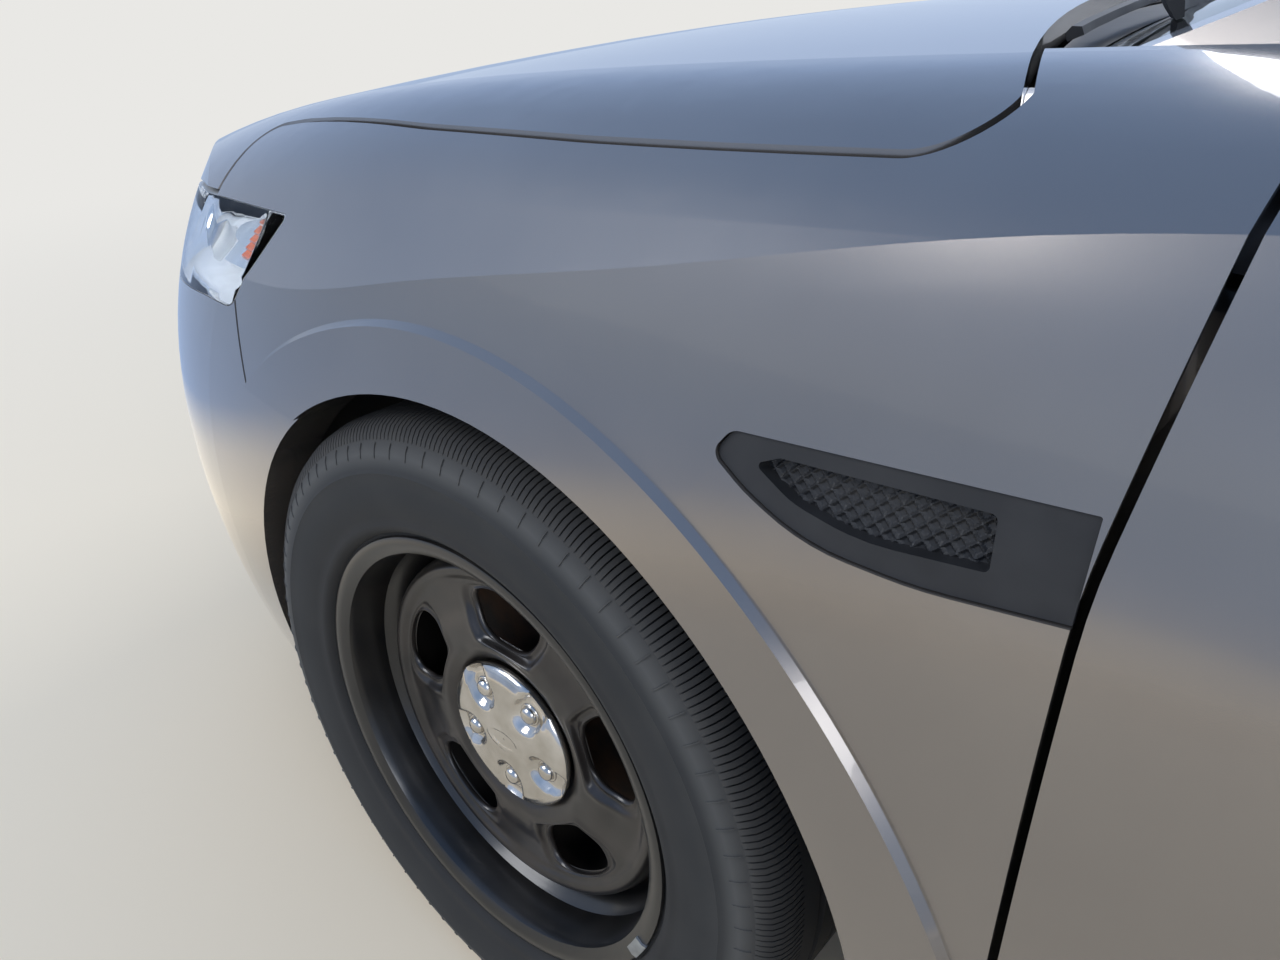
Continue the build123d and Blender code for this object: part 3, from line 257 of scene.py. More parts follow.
# %% Painted panels
paint = finish(
    PAINT, "#847e79", "#8d8781", 350, (0.22, 0.29), 0.85, Coat_Weight=1.0,
    Coat_Roughness=0.03
)
tree = paint.node_tree
shader = tree.nodes["Principled BSDF"]
place = tree.nodes["Texture Coordinate"]
FILM_TOP, FILM_LOW, FILM_MOST = 0.62, 0.24, 0.38
heights = put(tree, "SeparateXYZ", links={0: place.outputs["Object"]})
film = ranged(tree, heights.outputs["Z"], FILM_TOP, FILM_LOW, **{"To Max": FILM_MOST})
specks = put(
    tree, "TexNoise", {"Scale": 55.0, "Detail": 6.0, "Roughness": 0.7},
    {"Vector": place.outputs["Object"]}
)
patchy = put(
    tree, "Math", {"operation": "MULTIPLY"}, {0: film, 1: specks.outputs[0]}
)
clean = shader.inputs["Base Color"].links[0].from_socket
dusted = put(
    tree, "Mix", {"data_type": "RGBA", 7: linear("#8f867b")}, {0: patchy.outputs[0], 6: clean}
)
tree.links.new(dusted.outputs[2], shader.inputs["Base Color"])
flakes = put(tree, "TexVoronoi", {"Scale": 900.0}, {"Vector": place.outputs["Object"]})
sparkle = put(
    tree, "Bump", {"Distance": 0.0002, "Strength": 0.04},
    {"Height": flakes.outputs["Distance"]}
)
tree.links.new(sparkle.outputs[0], shader.inputs["Normal"])
STARTS = (
    "body_side", "fender_l", "fender_r", "front_door_l", "front_door_r", "rear_door_l", "rear_door_r",
)
PANELS = [n for n in nodes if n.startswith(STARTS)]
PANELS += ["roof_panel", "hood", "trunk_lid", "front_bumper", "rear_bumper", "rear_deck_panel"]
wear(PAINT, *PANELS)
print(len(PANELS), "painted panels")

# %% [markdown]
# The black parts are moulded polypropylene with a fine grain, the floor and axles are electro-coated
# steel, and the cast parts are bare iron with a film of rust. The head lamps have clear polycarbonate
# covers, and the tail lamps are red acrylic.

# %% Plastics, metals and cloth
finish(BLACK, "#1b1b1c", "#242425", 40, (0.5, 0.62), bump_mm=0.05)
finish("electrocoated_chassis_steel", "#17171a", "#2b2926", 120, (0.5, 0.75), 0.2, bump_mm=0.2)
finish("rusty_cast_iron", "#2f2a27", "#5a4234", 45, (0.6, 0.85), 0.6, bump_mm=0.3)
finish("folded_aluminium_fins", "#6d7072", "#7d8082", 6, (0.4, 0.55), 0.9, bump_mm=0.3)
finish("aluminised_exhaust_steel", "#6a6259", "#8b857c", 70, (0.35, 0.6), 0.9, bump_mm=0.1)
finish("red_acrylic_lens", "#5f0a0c", "#7c0f10", 200, (0.08, 0.12), Coat_Weight=0.6)
finish("smoked_polycarbonate_dome", "#2b3550", "#33405e", 150, (0.1, 0.16), Coat_Weight=0.5)
finish("grained_cabin_vinyl", "#1e1f21", "#292a2c", 8, (0.6, 0.75), bump_mm=0.15)
finish(CLOTH, "#2a2a2d", "#353538", 3, (0.85, 0.95), bump_mm=0.25, Sheen_Weight=0.3)
finish(
    "black_powder_coated_steel", "#1a1817", "#2d2825", 42, (0.26, 0.46), 0.25, bump_mm=0.03,
    Coat_Weight=0.35, Coat_Roughness=0.12
)
finish(
    "black_enamelled_rim", "#0e0e0f", "#1b1917", 60, (0.24, 0.40), bump_mm=0.02, Coat_Weight=0.3,
    Coat_Roughness=0.15
)
finish("polished_stainless_cap", "#bdb8b0", "#d2cec8", 30, (0.12, 0.24), 1.0)
finish("dusty_tyre_rubber", "#1c1c1c", "#343331", 55, (0.75, 0.95), bump_mm=0.15)
finish(
    "clear_polycarbonate_lens", "#f2f4f4", "#ffffff", 400, (0.02, 0.04), Transmission_Weight=1.0,
    IOR=1.06
)
finish("silvered_reflector", "#c9ccce", "#e3e5e6", 80, (0.08, 0.14), 1.0)
finish("amber_acrylic_reflector", "#a04a12", "#b8591a", 100, (0.1, 0.2), Coat_Weight=0.5)
finish("tempered_green_glass", "#dfeae6", "#e8f0ee", 400, (0.0, 0.02), Transmission_Weight=1.0, IOR=1.1)
finish("pale_lamp_housing", "#b4b7b8", "#c6c9ca", 80, (0.30, 0.42))
finish("cast_zinc_weight", "#8b8f92", "#a9adb0", 20, (0.35, 0.5), 0.8)
finish("lamp_projector_glass", "#9fb0bd", "#c4d0d8", 60, (0.03, 0.06), 0.85)
finish("blue_acrylic_dome", "#0b1d6b", "#12297f", 200, (0.08, 0.12), Coat_Weight=0.6)
finish("frosted_acrylic_dome", "#c9cdd0", "#dde0e2", 200, (0.15, 0.25), Coat_Weight=0.4)
finish("mirror_glass", "#c8d0d6", "#d6dde2", 500, (0.02, 0.04), 1.0)
finish("blank_white_plate", "#d8d8d4", "#e2e2df", 200, (0.35, 0.45))
wear(
    BLACK, "cowl_panel", "fender_vents", "grille", "arch_liners", "mirror_left",
    "mirror_right"
)
wear(
    "electrocoated_chassis_steel", "floor_pan", "front_structure", "front_suspension", "rear_suspension",
    "fuel_tank"
)
wear("rusty_cast_iron", "knuckle_left", "knuckle_right", "engine_block")
wear("folded_aluminium_fins", "radiator")
wear("aluminised_exhaust_steel", "exhaust")
wear("red_acrylic_lens", "tail_lamps")
wear("smoked_polycarbonate_dome", "light_bar")
wear("grained_cabin_vinyl", "dashboard", "parcel_shelf")
wear(CLOTH, "front_seat_left", "front_seat_right", "rear_seat")
wear("clear_polycarbonate_lens", "headlamps")
wear("tempered_green_glass", "windscreens", *[n for n in nodes if "door_glass" in n])
# Light reaches what is behind a thin clear pane, so a shadow ray passes it unbent.
for name in ("clear_polycarbonate_lens", "tempered_green_glass"):
    tree = finishes[name].node_tree
    solid = tree.nodes["Principled BSDF"].outputs[0]
    clear = put(tree, "BsdfTransparent")
    kind = put(tree, "LightPath")
    pane = put(
        tree, "MixShader",
        links={0: kind.outputs["Is Shadow Ray"], 1: solid, 2: clear.outputs[0]}
    )
    tree.links.new(pane.outputs[0], tree.nodes["Material Output"].inputs["Surface"])
print(len(finishes), "finishes")

# %% [markdown]
# The rubber is darkest at the bead, lightest in a narrow band high on the sidewall and darker
# again on the tread. Each tyre point stores its reach, which is its distance from the axle, and the rubber's
# colour follows that.

# %% Rubber tone by distance from the axle
rubber = finishes["dusty_tyre_rubber"].node_tree
reach_of = put(rubber, "Attribute", {"attribute_name": "reach"})
BEAD, TREAD = 0.230, 0.363
by_reach = put(rubber, "ValToRGB", links={0: ranged(rubber, reach_of.outputs["Fac"], BEAD, TREAD)})
by_reach.color_ramp.elements[0].color = linear("#151516")
by_reach.color_ramp.elements[1].color = linear("#232221")
for place, colour in (
    (0.14, "#201f1e"), (0.50, "#1f2122"), (0.66, "#2a2b2b"), (0.76, "#50504e"), (0.86, "#3b3a38"),
    (0.93, "#242322")
):
    by_reach.color_ramp.elements.new(place).color = linear(colour)
rubber_shader = rubber.nodes["Principled BSDF"]
patch_tone = rubber_shader.inputs["Base Color"].links[0].from_socket
reach_banded_tone = put(
    rubber, "Mix", {"data_type": "RGBA", 0: 0.7}, {6: patch_tone, 7: by_reach.outputs[0]}
)
rubber.links.new(reach_banded_tone.outputs[2], rubber_shader.inputs["Base Color"])

# %% [markdown]
# New pieces are turned or pressed shapes. A few helpers carry them all: one spins a profile round
# the axle, one joins rings of points into a sheet, and one turns a finished bmesh into an object
# with its finish and its body. The rest bring a piece to one of the four wheels.

# %% Helpers for new pieces
def turned(profile, steps):
    """Spin (offset, radius) points round the X axis into a closed ring or disc."""
    bm = bmesh.new()
    line = [bm.verts.new((x, 0, r)) for x, r in profile]
    edges = [bm.edges.new(pair) for pair in zip(line, line[1:])]
    bmesh.ops.spin(
        bm, geom=line + edges, cent=(0, 0, 0), axis=(1, 0, 0), angle=2 * pi, steps=steps, use_merge=True
    )
    bmesh.ops.remove_doubles(bm, verts=bm.verts, dist=1e-6)
    bmesh.ops.recalc_face_normals(bm, faces=bm.faces)
    return bm


def sheet_of(rings, closed_ring=True):
    """Join rings of points, one after the other, into one sheet."""
    bm = bmesh.new()
    rows = [[bm.verts.new(p) for p in ring] for ring in rings]
    count = len(rows[0])
    for one, two in zip(rows, rows[1:]):
        for i in range(count if closed_ring else count - 1):
            j = (i + 1) % count
            bm.faces.new((one[i], one[j], two[j], two[i]))
    if closed_ring:
        bm.faces.new(rows[0])
        bm.faces.new(rows[-1])
    bmesh.ops.recalc_face_normals(bm, faces=bm.faces)
    return bm


def settle(bm, name, finish_name, body, crease=35):
    """Turn a bmesh into a smooth-shaded piece that rides on a body."""
    mesh = bpy.data.meshes.new(name)
    bm.to_mesh(mesh)
    bm.free()
    mesh.shade_smooth()
    mesh.set_sharp_from_angle(angle=radians(crease))
    mesh.materials.append(finishes[finish_name])
    made = bpy.data.objects.new(name, mesh)
    scene.collection.objects.link(made)
    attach(made, body)
    return made


HALF_TRACK = 0.8305
TYRE_RADIUS = 0.363
BODY = ("car_body", "car_body")
WHEELS = {
    "front_left": (1, -1.537),
    "front_right": (-1, -1.537),
    "rear_left": (1, 1.331),
    "rear_right": (-1, 1.331),
}


def at_wheel(bm, place):
    """Move a piece built round the origin, outside towards +X, to one of the four wheels."""
    side, y = WHEELS[place]
    if side < 0:
        bmesh.ops.rotate(bm, cent=(0, 0, 0), matrix=Matrix.Rotation(pi, 3, "Z"), verts=bm.verts)
    bmesh.ops.translate(bm, vec=(side * HALF_TRACK, y, TYRE_RADIUS), verts=bm.verts)
    return bm


def on_wheel(place, bm, kind, finish_name, crease):
    """Settle a piece on one of the wheels."""
    return settle(at_wheel(bm, place), f"{kind}_{place}", finish_name, f"wheel_{place}", crease)


def absorb(bm, other):
    """Add another bmesh to this one."""
    mesh = bpy.data.meshes.new("passing")
    other.to_mesh(mesh)
    other.free()
    bm.from_mesh(mesh)
    bpy.data.meshes.remove(mesh)


# %% [markdown]
# The tyre is an all-season 245/55R18. Its tread has three grooves between four ribs, and a row of
# narrow lugs on each shoulder. Its sidewall has a rim guard, a fine raised line and thin wear ribs.
# The casing is spun from one profile, and the lugs are small tapered blocks repeated round it.

# %% Tyres
SIDE = [
    (0.0990, 0.2310), (0.1060, 0.2370), (0.1075, 0.2480), (0.1120, 0.2500), (0.1165, 0.2540),
    (0.1178, 0.2600), (0.1170, 0.2630), (0.1190, 0.2700), (0.1215, 0.2850), (0.1225, 0.3000),
    (0.1222, 0.3120), (0.1228, 0.3140), (0.1216, 0.3160), (0.1195, 0.3260), (0.1165, 0.3350),
    (0.1120, 0.3420), (0.1040, 0.3490), (0.0960, 0.3530)
]
CROWN = [
    (0.0700, 0.3550), (0.0690, 0.3625), (0.0460, 0.3630), (0.0450, 0.3550), (0.0360, 0.3550),
    (0.0350, 0.3630), (0.0060, 0.3630), (0.0050, 0.3550)
]

# Columns: offset, radius and depth of a shoulder lug, and of a wear rib on the sidewall
LUG = (
    (0.0690, 0.3630, 0.0090), (0.0850, 0.3626, 0.0090), (0.0960, 0.3598, 0.0080),
    (0.1040, 0.3550, 0.0070), (0.1090, 0.3480, 0.0060), (0.1110, 0.3430, 0.0030)
)
TICK = ((0.1135, 0.3420, 0.0020), (0.1168, 0.3370, 0.0020), (0.1196, 0.3290, 0.0020))
# Columns: how many stand round the tyre, half of the length of one, and its shape
BLOCKS = ((348, 0.0024, LUG), (84, 0.0006, TICK))
DRAFT = 0.2
CASING_STEPS = 144


def foot(x, r, deep, half_long):
    """Four corners of a block's section, narrower at its root."""
    root, low = x - DRAFT * deep, r - deep
    return (x, -half_long, r), (x, half_long, r), (root, half_long, low), (root, -half_long, low)


def tyre():
    """Casing spun from its profile, with the blocks of tread and sidewall on both sides."""
    half = SIDE + CROWN
    profile = half + [(-x, r) for x, r in reversed(half)]
    bm = turned(profile + [profile[0]], CASING_STEPS)
    for side in (1, -1):
        for steps, half_long, rows in BLOCKS:
            rings = [
                [Vector((side * x, y, z)) for x, y, z in foot(*row, half_long)] for row in rows
            ]
            block = sheet_of(rings)
            bmesh.ops.spin(
                block, geom=block.verts[:] + block.edges[:] + block.faces[:], cent=(0, 0, 0),
                axis=(1, 0, 0), angle=2 * pi * (steps - 1) / steps, steps=steps - 1, use_duplicate=True
            )
            absorb(bm, block)
    reach = bm.verts.layers.float.new("reach")
    for v in bm.verts:
        v[reach] = hypot(v.co.y, v.co.z)
    return bm


for place in WHEELS:
    piece = on_wheel(place, tyre(), "tread_tyre", "dusty_tyre_rubber", 40)
    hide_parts(f"tyre_{place}")
print("tyre triangles", sum(len(p.vertices) - 2 for p in piece.data.polygons))

# %% [markdown]
# A patrol wheel is pressed from heavy steel plate and powder coated black. Its disc bulges out
# round the hub, has five windows with rolled lips to cool the brakes, and turns back in a ring
# where it meets the rim. Each window sector is one loop pushed outward in rings to the edges of
# its fifth of the disc, so that the lip and the plate are one smooth sheet.

# %% Steel wheels
RIM = [
    (-0.1110, 0.2430), (-0.1080, 0.2450), (-0.1065, 0.2430), (-0.1065, 0.2290), (-0.0750, 0.2270),
    (-0.0600, 0.2070), (0.0360, 0.2070), (0.0540, 0.2270), (0.1050, 0.2290), (0.1070, 0.2320),
    (0.1070, 0.2430), (0.1085, 0.2450), (0.1110, 0.2440), (0.1120, 0.2400), (0.1110, 0.2330),
    (0.1060, 0.2250), (0.0980, 0.2220), (0.0620, 0.2200), (0.0560, 0.2160), (0.0440, 0.2030),
    (0.0380, 0.2010), (-0.0600, 0.2010), (-0.0760, 0.2220), (-0.1040, 0.2240), (-0.1110, 0.2380)
]
DISC = [
    (0.000, 0.044), (0.076, 0.044), (0.088, 0.062), (0.102, 0.068), (0.120, 0.067), (0.150, 0.062),
    (0.176, 0.061), (0.186, 0.066), (0.194, 0.066), (0.200, 0.052), (0.203, 0.044)
]
INNER, OUTER = 0.096, 0.184
WINDOWS = 5
SQUARENESS = 2.7
RIM_STEPS = 120
PLATE_THICKNESS = 0.006
LIP_HIGH, CREST_HIGH, EDGE_DROP = 0.0024, 0.0016, 0.0040
VALLEY_RIMWARD, VALLEY_HUBWARD = 0.0022, 0.0050
WINDOW_RINGS = (0.03, 0.07, 0.12, 0.19, 0.25, 0.31, 0.37, 0.46, 0.60, 0.78, 1.0)
HUB_RADII = (0.088, 0.082, 0.078, 0.074, 0.060, 0.036)
EDGE_RADII = (0.188, 0.192, 0.196, 0.199, 0.202)


def bump(value, middle, width):
    """A smooth bump, 1 high at its middle."""
    return exp(-(((value - middle) / width) ** 2))


def disc_offset(radius):
    """Offset of the pressed plate's outside at a radius."""
    for (r0, x0), (r1, x1) in zip(DISC, DISC[1:]):
        if r0 <= radius <= r1:
            t = (radius - r0) / (r1 - r0)
            t = t * t * (3 - 2 * t)
            return x0 + t * (x1 - x0)
    return DISC[-1][1]


def window_point(step, count, share, centre):
    """A point of the sector's grid: share 0 is the window's edge, share 1 the sector's edge."""
    turn = 2 * pi * step / count + pi / 4
    c, s = cos(turn), sin(turn)
    big = max(abs(c), abs(s))
    square = (c / big, s / big)
    soft = (abs(c) ** SQUARENESS + abs(s) ** SQUARENESS) ** (1 / SQUARENESS)
    window = (c / soft * (0.47 + 0.05 * s), s / soft * 0.68 + 0.04)
    u = window[0] + (square[0] - window[0]) * share
    v = window[1] + (square[1] - window[1]) * share
    radius = (INNER + OUTER) / 2 + v * (OUTER - INNER) / 2
    angle = centre + u * pi / WINDOWS
    hubward = min(1.0, max(0.0, 0.55 - 0.75 * v))
    step = min(1.0, max(0.0, (share - 0.20) / 0.12))
    valley = (VALLEY_RIMWARD + VALLEY_HUBWARD * hubward) * (1 - step * step * (3 - 2 * step))
    crest = CREST_HIGH * hubward * bump(share, 0.36, 0.06)
    lip = LIP_HIGH * bump(share, 0.07, 0.04)
    x = disc_offset(radius) - valley + crest + lip - EDGE_DROP * bump(share, 0.0, 0.03)
    return Vector((x, radius * sin(angle), radius * cos(angle)))


def grown_edges(bm, edges):
    """Extrude a loop of edges; its new points and its new edges."""
    grown = bmesh.ops.extrude_edge_only(bm, edges=edges)["geom"]
    fresh = [g for g in grown if isinstance(g, bmesh.types.BMVert)]
    return fresh, [g for g in grown if isinstance(g, bmesh.types.BMEdge)]


def loop_at(bm, radius):
    """Open edges that lie on a circle about the axle."""
    def near(v):
        return abs(hypot(v.co.y, v.co.z) - radius) < 0.0005

    return [e for e in bm.edges if e.is_boundary and all(near(v) for v in e.verts)]


def wheel_disc():
    """Five window sectors, then the rings inside and outside them."""
    bm = bmesh.new()
    count = 48
    for window in range(WINDOWS):
        centre = 2 * pi * window / WINDOWS
        ring = [bm.verts.new(window_point(i, count, 0, centre)) for i in range(count)]
        edges = [bm.edges.new((ring[i], ring[(i + 1) % count])) for i in range(count)]
        for share in WINDOW_RINGS:
            fresh, edges = grown_edges(bm, edges)
            for i, v in enumerate(fresh):
                v.co = window_point(i, count, share, centre)
    bmesh.ops.remove_doubles(bm, verts=bm.verts, dist=0.0002)
    for limit, radii in ((INNER, HUB_RADII), (OUTER, EDGE_RADII)):
        edges = loop_at(bm, limit)
        for radius in radii:
            _, edges = grown_edges(bm, edges)
            for v in {v for e in edges for v in e.verts}:
                scale = radius / hypot(v.co.y, v.co.z)
                v.co = (disc_offset(radius), v.co.y * scale, v.co.z * scale)
    bmesh.ops.recalc_face_normals(bm, faces=bm.faces)
    if sum(f.normal.x for f in bm.faces) < 0:
        bmesh.ops.reverse_faces(bm, faces=bm.faces)
    return bm


for place in WHEELS:
    ring = turned(RIM + [RIM[0]], RIM_STEPS)
    rim = on_wheel(place, ring, "wheel_rim", "black_enamelled_rim", 30)
    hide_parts(f"rim_{place}")
    disc = on_wheel(place, wheel_disc(), "wheel_disc", "black_powder_coated_steel", 60)
    plate = disc.modifiers.new("plate", "SOLIDIFY")
    plate.thickness = PLATE_THICKNESS
    plate.offset = -1
    round_off = disc.modifiers.new("round", "SUBSURF")
    round_off.levels = round_off.render_levels = 1
print("disc faces", len(disc.data.polygons))

# %% [markdown]
# The centre cap is a thin bowl of polished stainless steel that snaps over the hub. Five scallops
# leave room for the wheel nuts, whose domed ends stand in them, and a small oval pad is pressed in
# the middle. It is a spun dome whose points are pushed in where the scallops are. The nearest
# scallop to a point is found from its angle, so one function serves all five.

# %% Hub caps
CAP = [
    (0.0600, 0.0835), (0.0640, 0.0850), (0.0680, 0.0842), (0.0706, 0.0815), (0.0722, 0.0780),
    (0.0735, 0.0740)
]
CAP += [(0.0747 + 0.0000925 * i, 0.0712 - 0.0022 * i) for i in range(33)]
CAP_STEPS = 180
NUTS = 5
NUT_CIRCLE = 0.0565
NUT = [
    (0.0640, 0.0128), (0.0668, 0.0126), (0.0676, 0.0116), (0.0672, 0.0102), (0.0690, 0.0098),
    (0.0716, 0.0086), (0.0732, 0.0060), (0.0738, 0.0030), (0.0739, 0.0)
]
NUT_STEPS = 28
SCALLOP_DEPTH = 0.0090
SCALLOP_ACROSS, SCALLOP_INWARD, SCALLOP_OUTWARD = 0.0172, 0.0190, 0.045
PAD_HALF = (0.0185, 0.0095)
CAP_EDGE = 0.0850


def scallop(y, z):
    """Depth from 0 to 1 of the nearest nut's scallop, which opens towards the edge."""
    angle = round((atan2(y, z) / (2 * pi) - 0.1) * NUTS) / NUTS * 2 * pi + 2 * pi * 0.1
    dy, dz = y - NUT_CIRCLE * sin(angle), z - NUT_CIRCLE * cos(angle)
    along = dy * sin(angle) + dz * cos(angle)
    across = dy * cos(angle) - dz * sin(angle)
    far = hypot(across / SCALLOP_ACROSS, along / (SCALLOP_OUTWARD if along > 0 else SCALLOP_INWARD))
    return 1 / (1 + exp((far - 1) * 11))


def hub_cap():
    """Spun dome with five scallops and an oval pad that has a raised edge."""
    bm = turned(CAP + [(0.0768, 0.0)], CAP_STEPS)
    for v in bm.verts:
        radius = hypot(v.co.y, v.co.z)
        if radius < 0.0835 and v.co.x > 0.066:
            fade = min(1.0, (CAP_EDGE - radius) / 0.006)
            v.co.x -= SCALLOP_DEPTH * scallop(v.co.y, v.co.z) * fade
        oval = hypot(v.co.y / PAD_HALF[0], v.co.z / PAD_HALF[1])
        v.co.x -= 0.0010 / (1 + exp((oval - 1) * 25))
        v.co.x += 0.0009 * bump(oval, 1.20, 0.12)
    return bm


def wheel_nuts():
    """Domed ends of the nuts, each with a turned ring at its foot."""
    bm = bmesh.new()
    for nut in range(NUTS):
        centre = 2 * pi * (nut + 0.5) / NUTS
        one = turned(NUT, NUT_STEPS)
        bmesh.ops.translate(
            one, vec=(0, NUT_CIRCLE * sin(centre), NUT_CIRCLE * cos(centre)), verts=one.verts
        )
        absorb(bm, one)
    return bm


for place in WHEELS:
    cap = on_wheel(place, hub_cap(), "bright_cap", "polished_stainless_cap", 60)
    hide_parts(f"hub_cap_{place}")
    on_wheel(place, wheel_nuts(), "wheel_nuts", "polished_stainless_cap", 60)

# A small zinc weight is clipped on the front left rim, over an arc that starts at CLIP_FROM degrees.
CLIP_FROM, CLIP_STEP = 112.8, 0.9
CLIP = [
    (0.1085, 0.2450), (0.1128, 0.2450), (0.1140, 0.2400), (0.1130, 0.2320), (0.1095, 0.2320),
    (0.1105, 0.2400)
]
turns = [radians(CLIP_FROM + CLIP_STEP * k) for k in range(8)]
clip = sheet_of([[Vector((x, r * sin(t), r * cos(t))) for x, r in CLIP] for t in turns])
settle(
    at_wheel(clip, "front_left"), "balance_clip", "cast_zinc_weight", "wheel_front_left", 40
)
print("cap width", round(cap.dimensions.y, 4))

# %% [markdown]
# The remaining pieces sit on the panels, so their places are read off the panels: a ray is cast at
# the frame and the piece starts where it lands. A strip or a bar is then a row of cross-sections
# along such points, joined into one closed sheet.

# %% Reading the panels and sweeping sections
OUTSIDE = 1.4
INWARD, FORWARD, DOWNWARD = (-1, 0, 0), (0, -1, 0), (0, 0, -1)


def caster(*names):
    """Tree of some CAD nodes that rays can be cast at."""
    points, faces = [], []
    for name in names:
        mesh = nodes[name].data
        first = len(points)
        points += [v.co.copy() for v in mesh.vertices]
        faces += [[first + i for i in p.vertices] for p in mesh.polygons]
    return BVHTree.FromPolygons(points, faces)


def landed(tree, start, way):
    """Point and outward normal where a ray lands."""
    point, normal, _, _ = tree.ray_cast(Vector(start), Vector(way))
    if normal.dot(Vector(way)) > 0:
        normal = -normal
    return point, normal


def moulding(tree, path, section, way=INWARD):
    """Sweep a section of (across, out) over points of a panel."""
    start = [landed(tree, Vector(p) - Vector(way) * 0.6, way) for p in path]
    rings = []
    for i, (point, normal) in enumerate(start):
        before, after = start[max(i - 1, 0)][0], start[min(i + 1, len(start) - 1)][0]
        along = (after - before).normalized()
        across = normal.cross(along).normalized()
        rings.append([point + across * a + normal * o for a, o in section])
    return sheet_of(rings)


def between(points, pieces):
    """Points at even steps along a line of points."""
    lengths = [0.0]
    for one, two in zip(points, points[1:]):
        lengths.append(lengths[-1] + (Vector(two) - Vector(one)).length)
    made = []
    for k in range(pieces + 1):
        far = lengths[-1] * k / pieces
        i = max(j for j in range(len(points) - 1) if lengths[j] <= far + 1e-9)
        t = (far - lengths[i]) / (lengths[i + 1] - lengths[i])
        made.append(Vector(points[i]).lerp(Vector(points[i + 1]), min(t, 1.0)))
    return made


def copied(name):
    """A copy of a CAD node's surface, with its split points merged."""
    bm = bmesh.new()
    bm.from_mesh(nodes[name].data)
    bmesh.ops.remove_doubles(bm, verts=bm.verts, dist=1e-5)
    bmesh.ops.recalc_face_normals(bm, faces=bm.faces)
    return bm


def mirrored(bm):
    """The same piece for the car's other side."""
    other = bm.copy()
    bmesh.ops.scale(other, vec=(-1, 1, 1), verts=other.verts)
    bmesh.ops.reverse_faces(other, faces=other.faces)
    return other


def pair(bm, name, finish_name, bodies, slot, crease=35):
    """Settle a left piece and its mirror image."""
    other = mirrored(bm)
    left = settle(bm, f"{name}_left", finish_name, bodies[0], crease)
    right = settle(other, f"{name}_right", finish_name, bodies[1], crease)
    return left, right


flank = caster("body_side_left", "fender_left", "front_door_left", "rear_door_left")

# %% [markdown]
# Behind the front wheel, the fender carries a black moulded vent. Its insert is blind: a diamond
# pattern of small sharp ridges on a plate that lies 10 mm deep. The plate is a grid of points whose
# height follows two families of slanted ridges, which cross almost at right angles.

# %% Fender vents
vent_skin = caster("fender_vents")
MESH_FROM, MESH_LONG = -1.2188, 0.1576
MESH_DEEP, RIDGE_HIGH = 0.0100, 0.0022
RIDGE_PITCH, RIDGE_HALF = 0.0074, 0.0016
RIDGE_WAY = (0.72, 0.69)
ACROSS, DOWN = 140, 48
MESH_TOP = ((-1.2190, 0.8085), (-1.2150, 0.8115), (-1.2000, 0.8190), (-1.0610, 0.8315))
MESH_LOW = (
    (-1.2190, 0.8070), (-1.2120, 0.8020), (-1.1880, 0.7890), (-1.1400, 0.7810), (-1.0610, 0.7920)
)
frame_points = [
    landed(vent_skin, (OUTSIDE, y, z), INWARD)[0]
    for y, z in ((-1.215, 0.8195), (-1.075, 0.8325), (-1.100, 0.7780))
]
one_way, other_way = frame_points[1] - frame_points[0], frame_points[2] - frame_points[0]
vent_normal = one_way.cross(other_way).normalized()
if vent_normal.x < 0:
    vent_normal = -vent_normal


def level(line, y):
    """Height of a line of (y, z) points at y."""
    for (y0, z0), (y1, z1) in zip(line, line[1:]):
        if y <= y1:
            return z0 + (z1 - z0) * (y - y0) / (y1 - y0)
    return line[-1][1]


def ridge(distance, pitch, width):
    """Height from 0 to 1 of the ridge nearest to a point."""
    away = abs((distance / pitch) % 1 - 0.5) * pitch
    return max(0.0, 1 - away / width)


rings = []
for i in range(ACROSS + 1):
    y = MESH_FROM + MESH_LONG * i / ACROSS
    ring = []
    for j in range(DOWN + 1):
        low, top = level(MESH_LOW, y), level(MESH_TOP, y)
        z = low + (top - low) * j / DOWN
        y_off, z_off = y - frame_points[0].y, z - frame_points[0].z
        x = frame_points[0].x - (vent_normal.y * y_off + vent_normal.z * z_off) / vent_normal.x
        high = max(
            ridge(way * y * RIDGE_WAY[0] + z * RIDGE_WAY[1], RIDGE_PITCH, RIDGE_HALF) for way in (1, -1)
        )
        ring.append(Vector((x, y, z)) + vent_normal * (RIDGE_HIGH * high - MESH_DEEP))
    rings.append(ring)
insert = sheet_of(rings, closed_ring=False)
if sum(f.normal.x for f in insert.faces) < 0:
    bmesh.ops.reverse_faces(insert, faces=insert.faces)
pair(insert, "vent_insert", BLACK, BODY, "black_plastic", 20)
print("vent insert at x", round(frame_points[0].x, 3))

# %% [markdown]
# A head lamp is a clear moulded cover over a deep bowl. The cover is the front of the lamp's CAD
# solid and the bowl is the rest of it, so the two fit the opening exactly. Inside stand a bright
# stepped reflector, two round lenses in bright bezels and an amber corner reflector.

# %% Head lamps
lamp_skin = caster("headlamps")
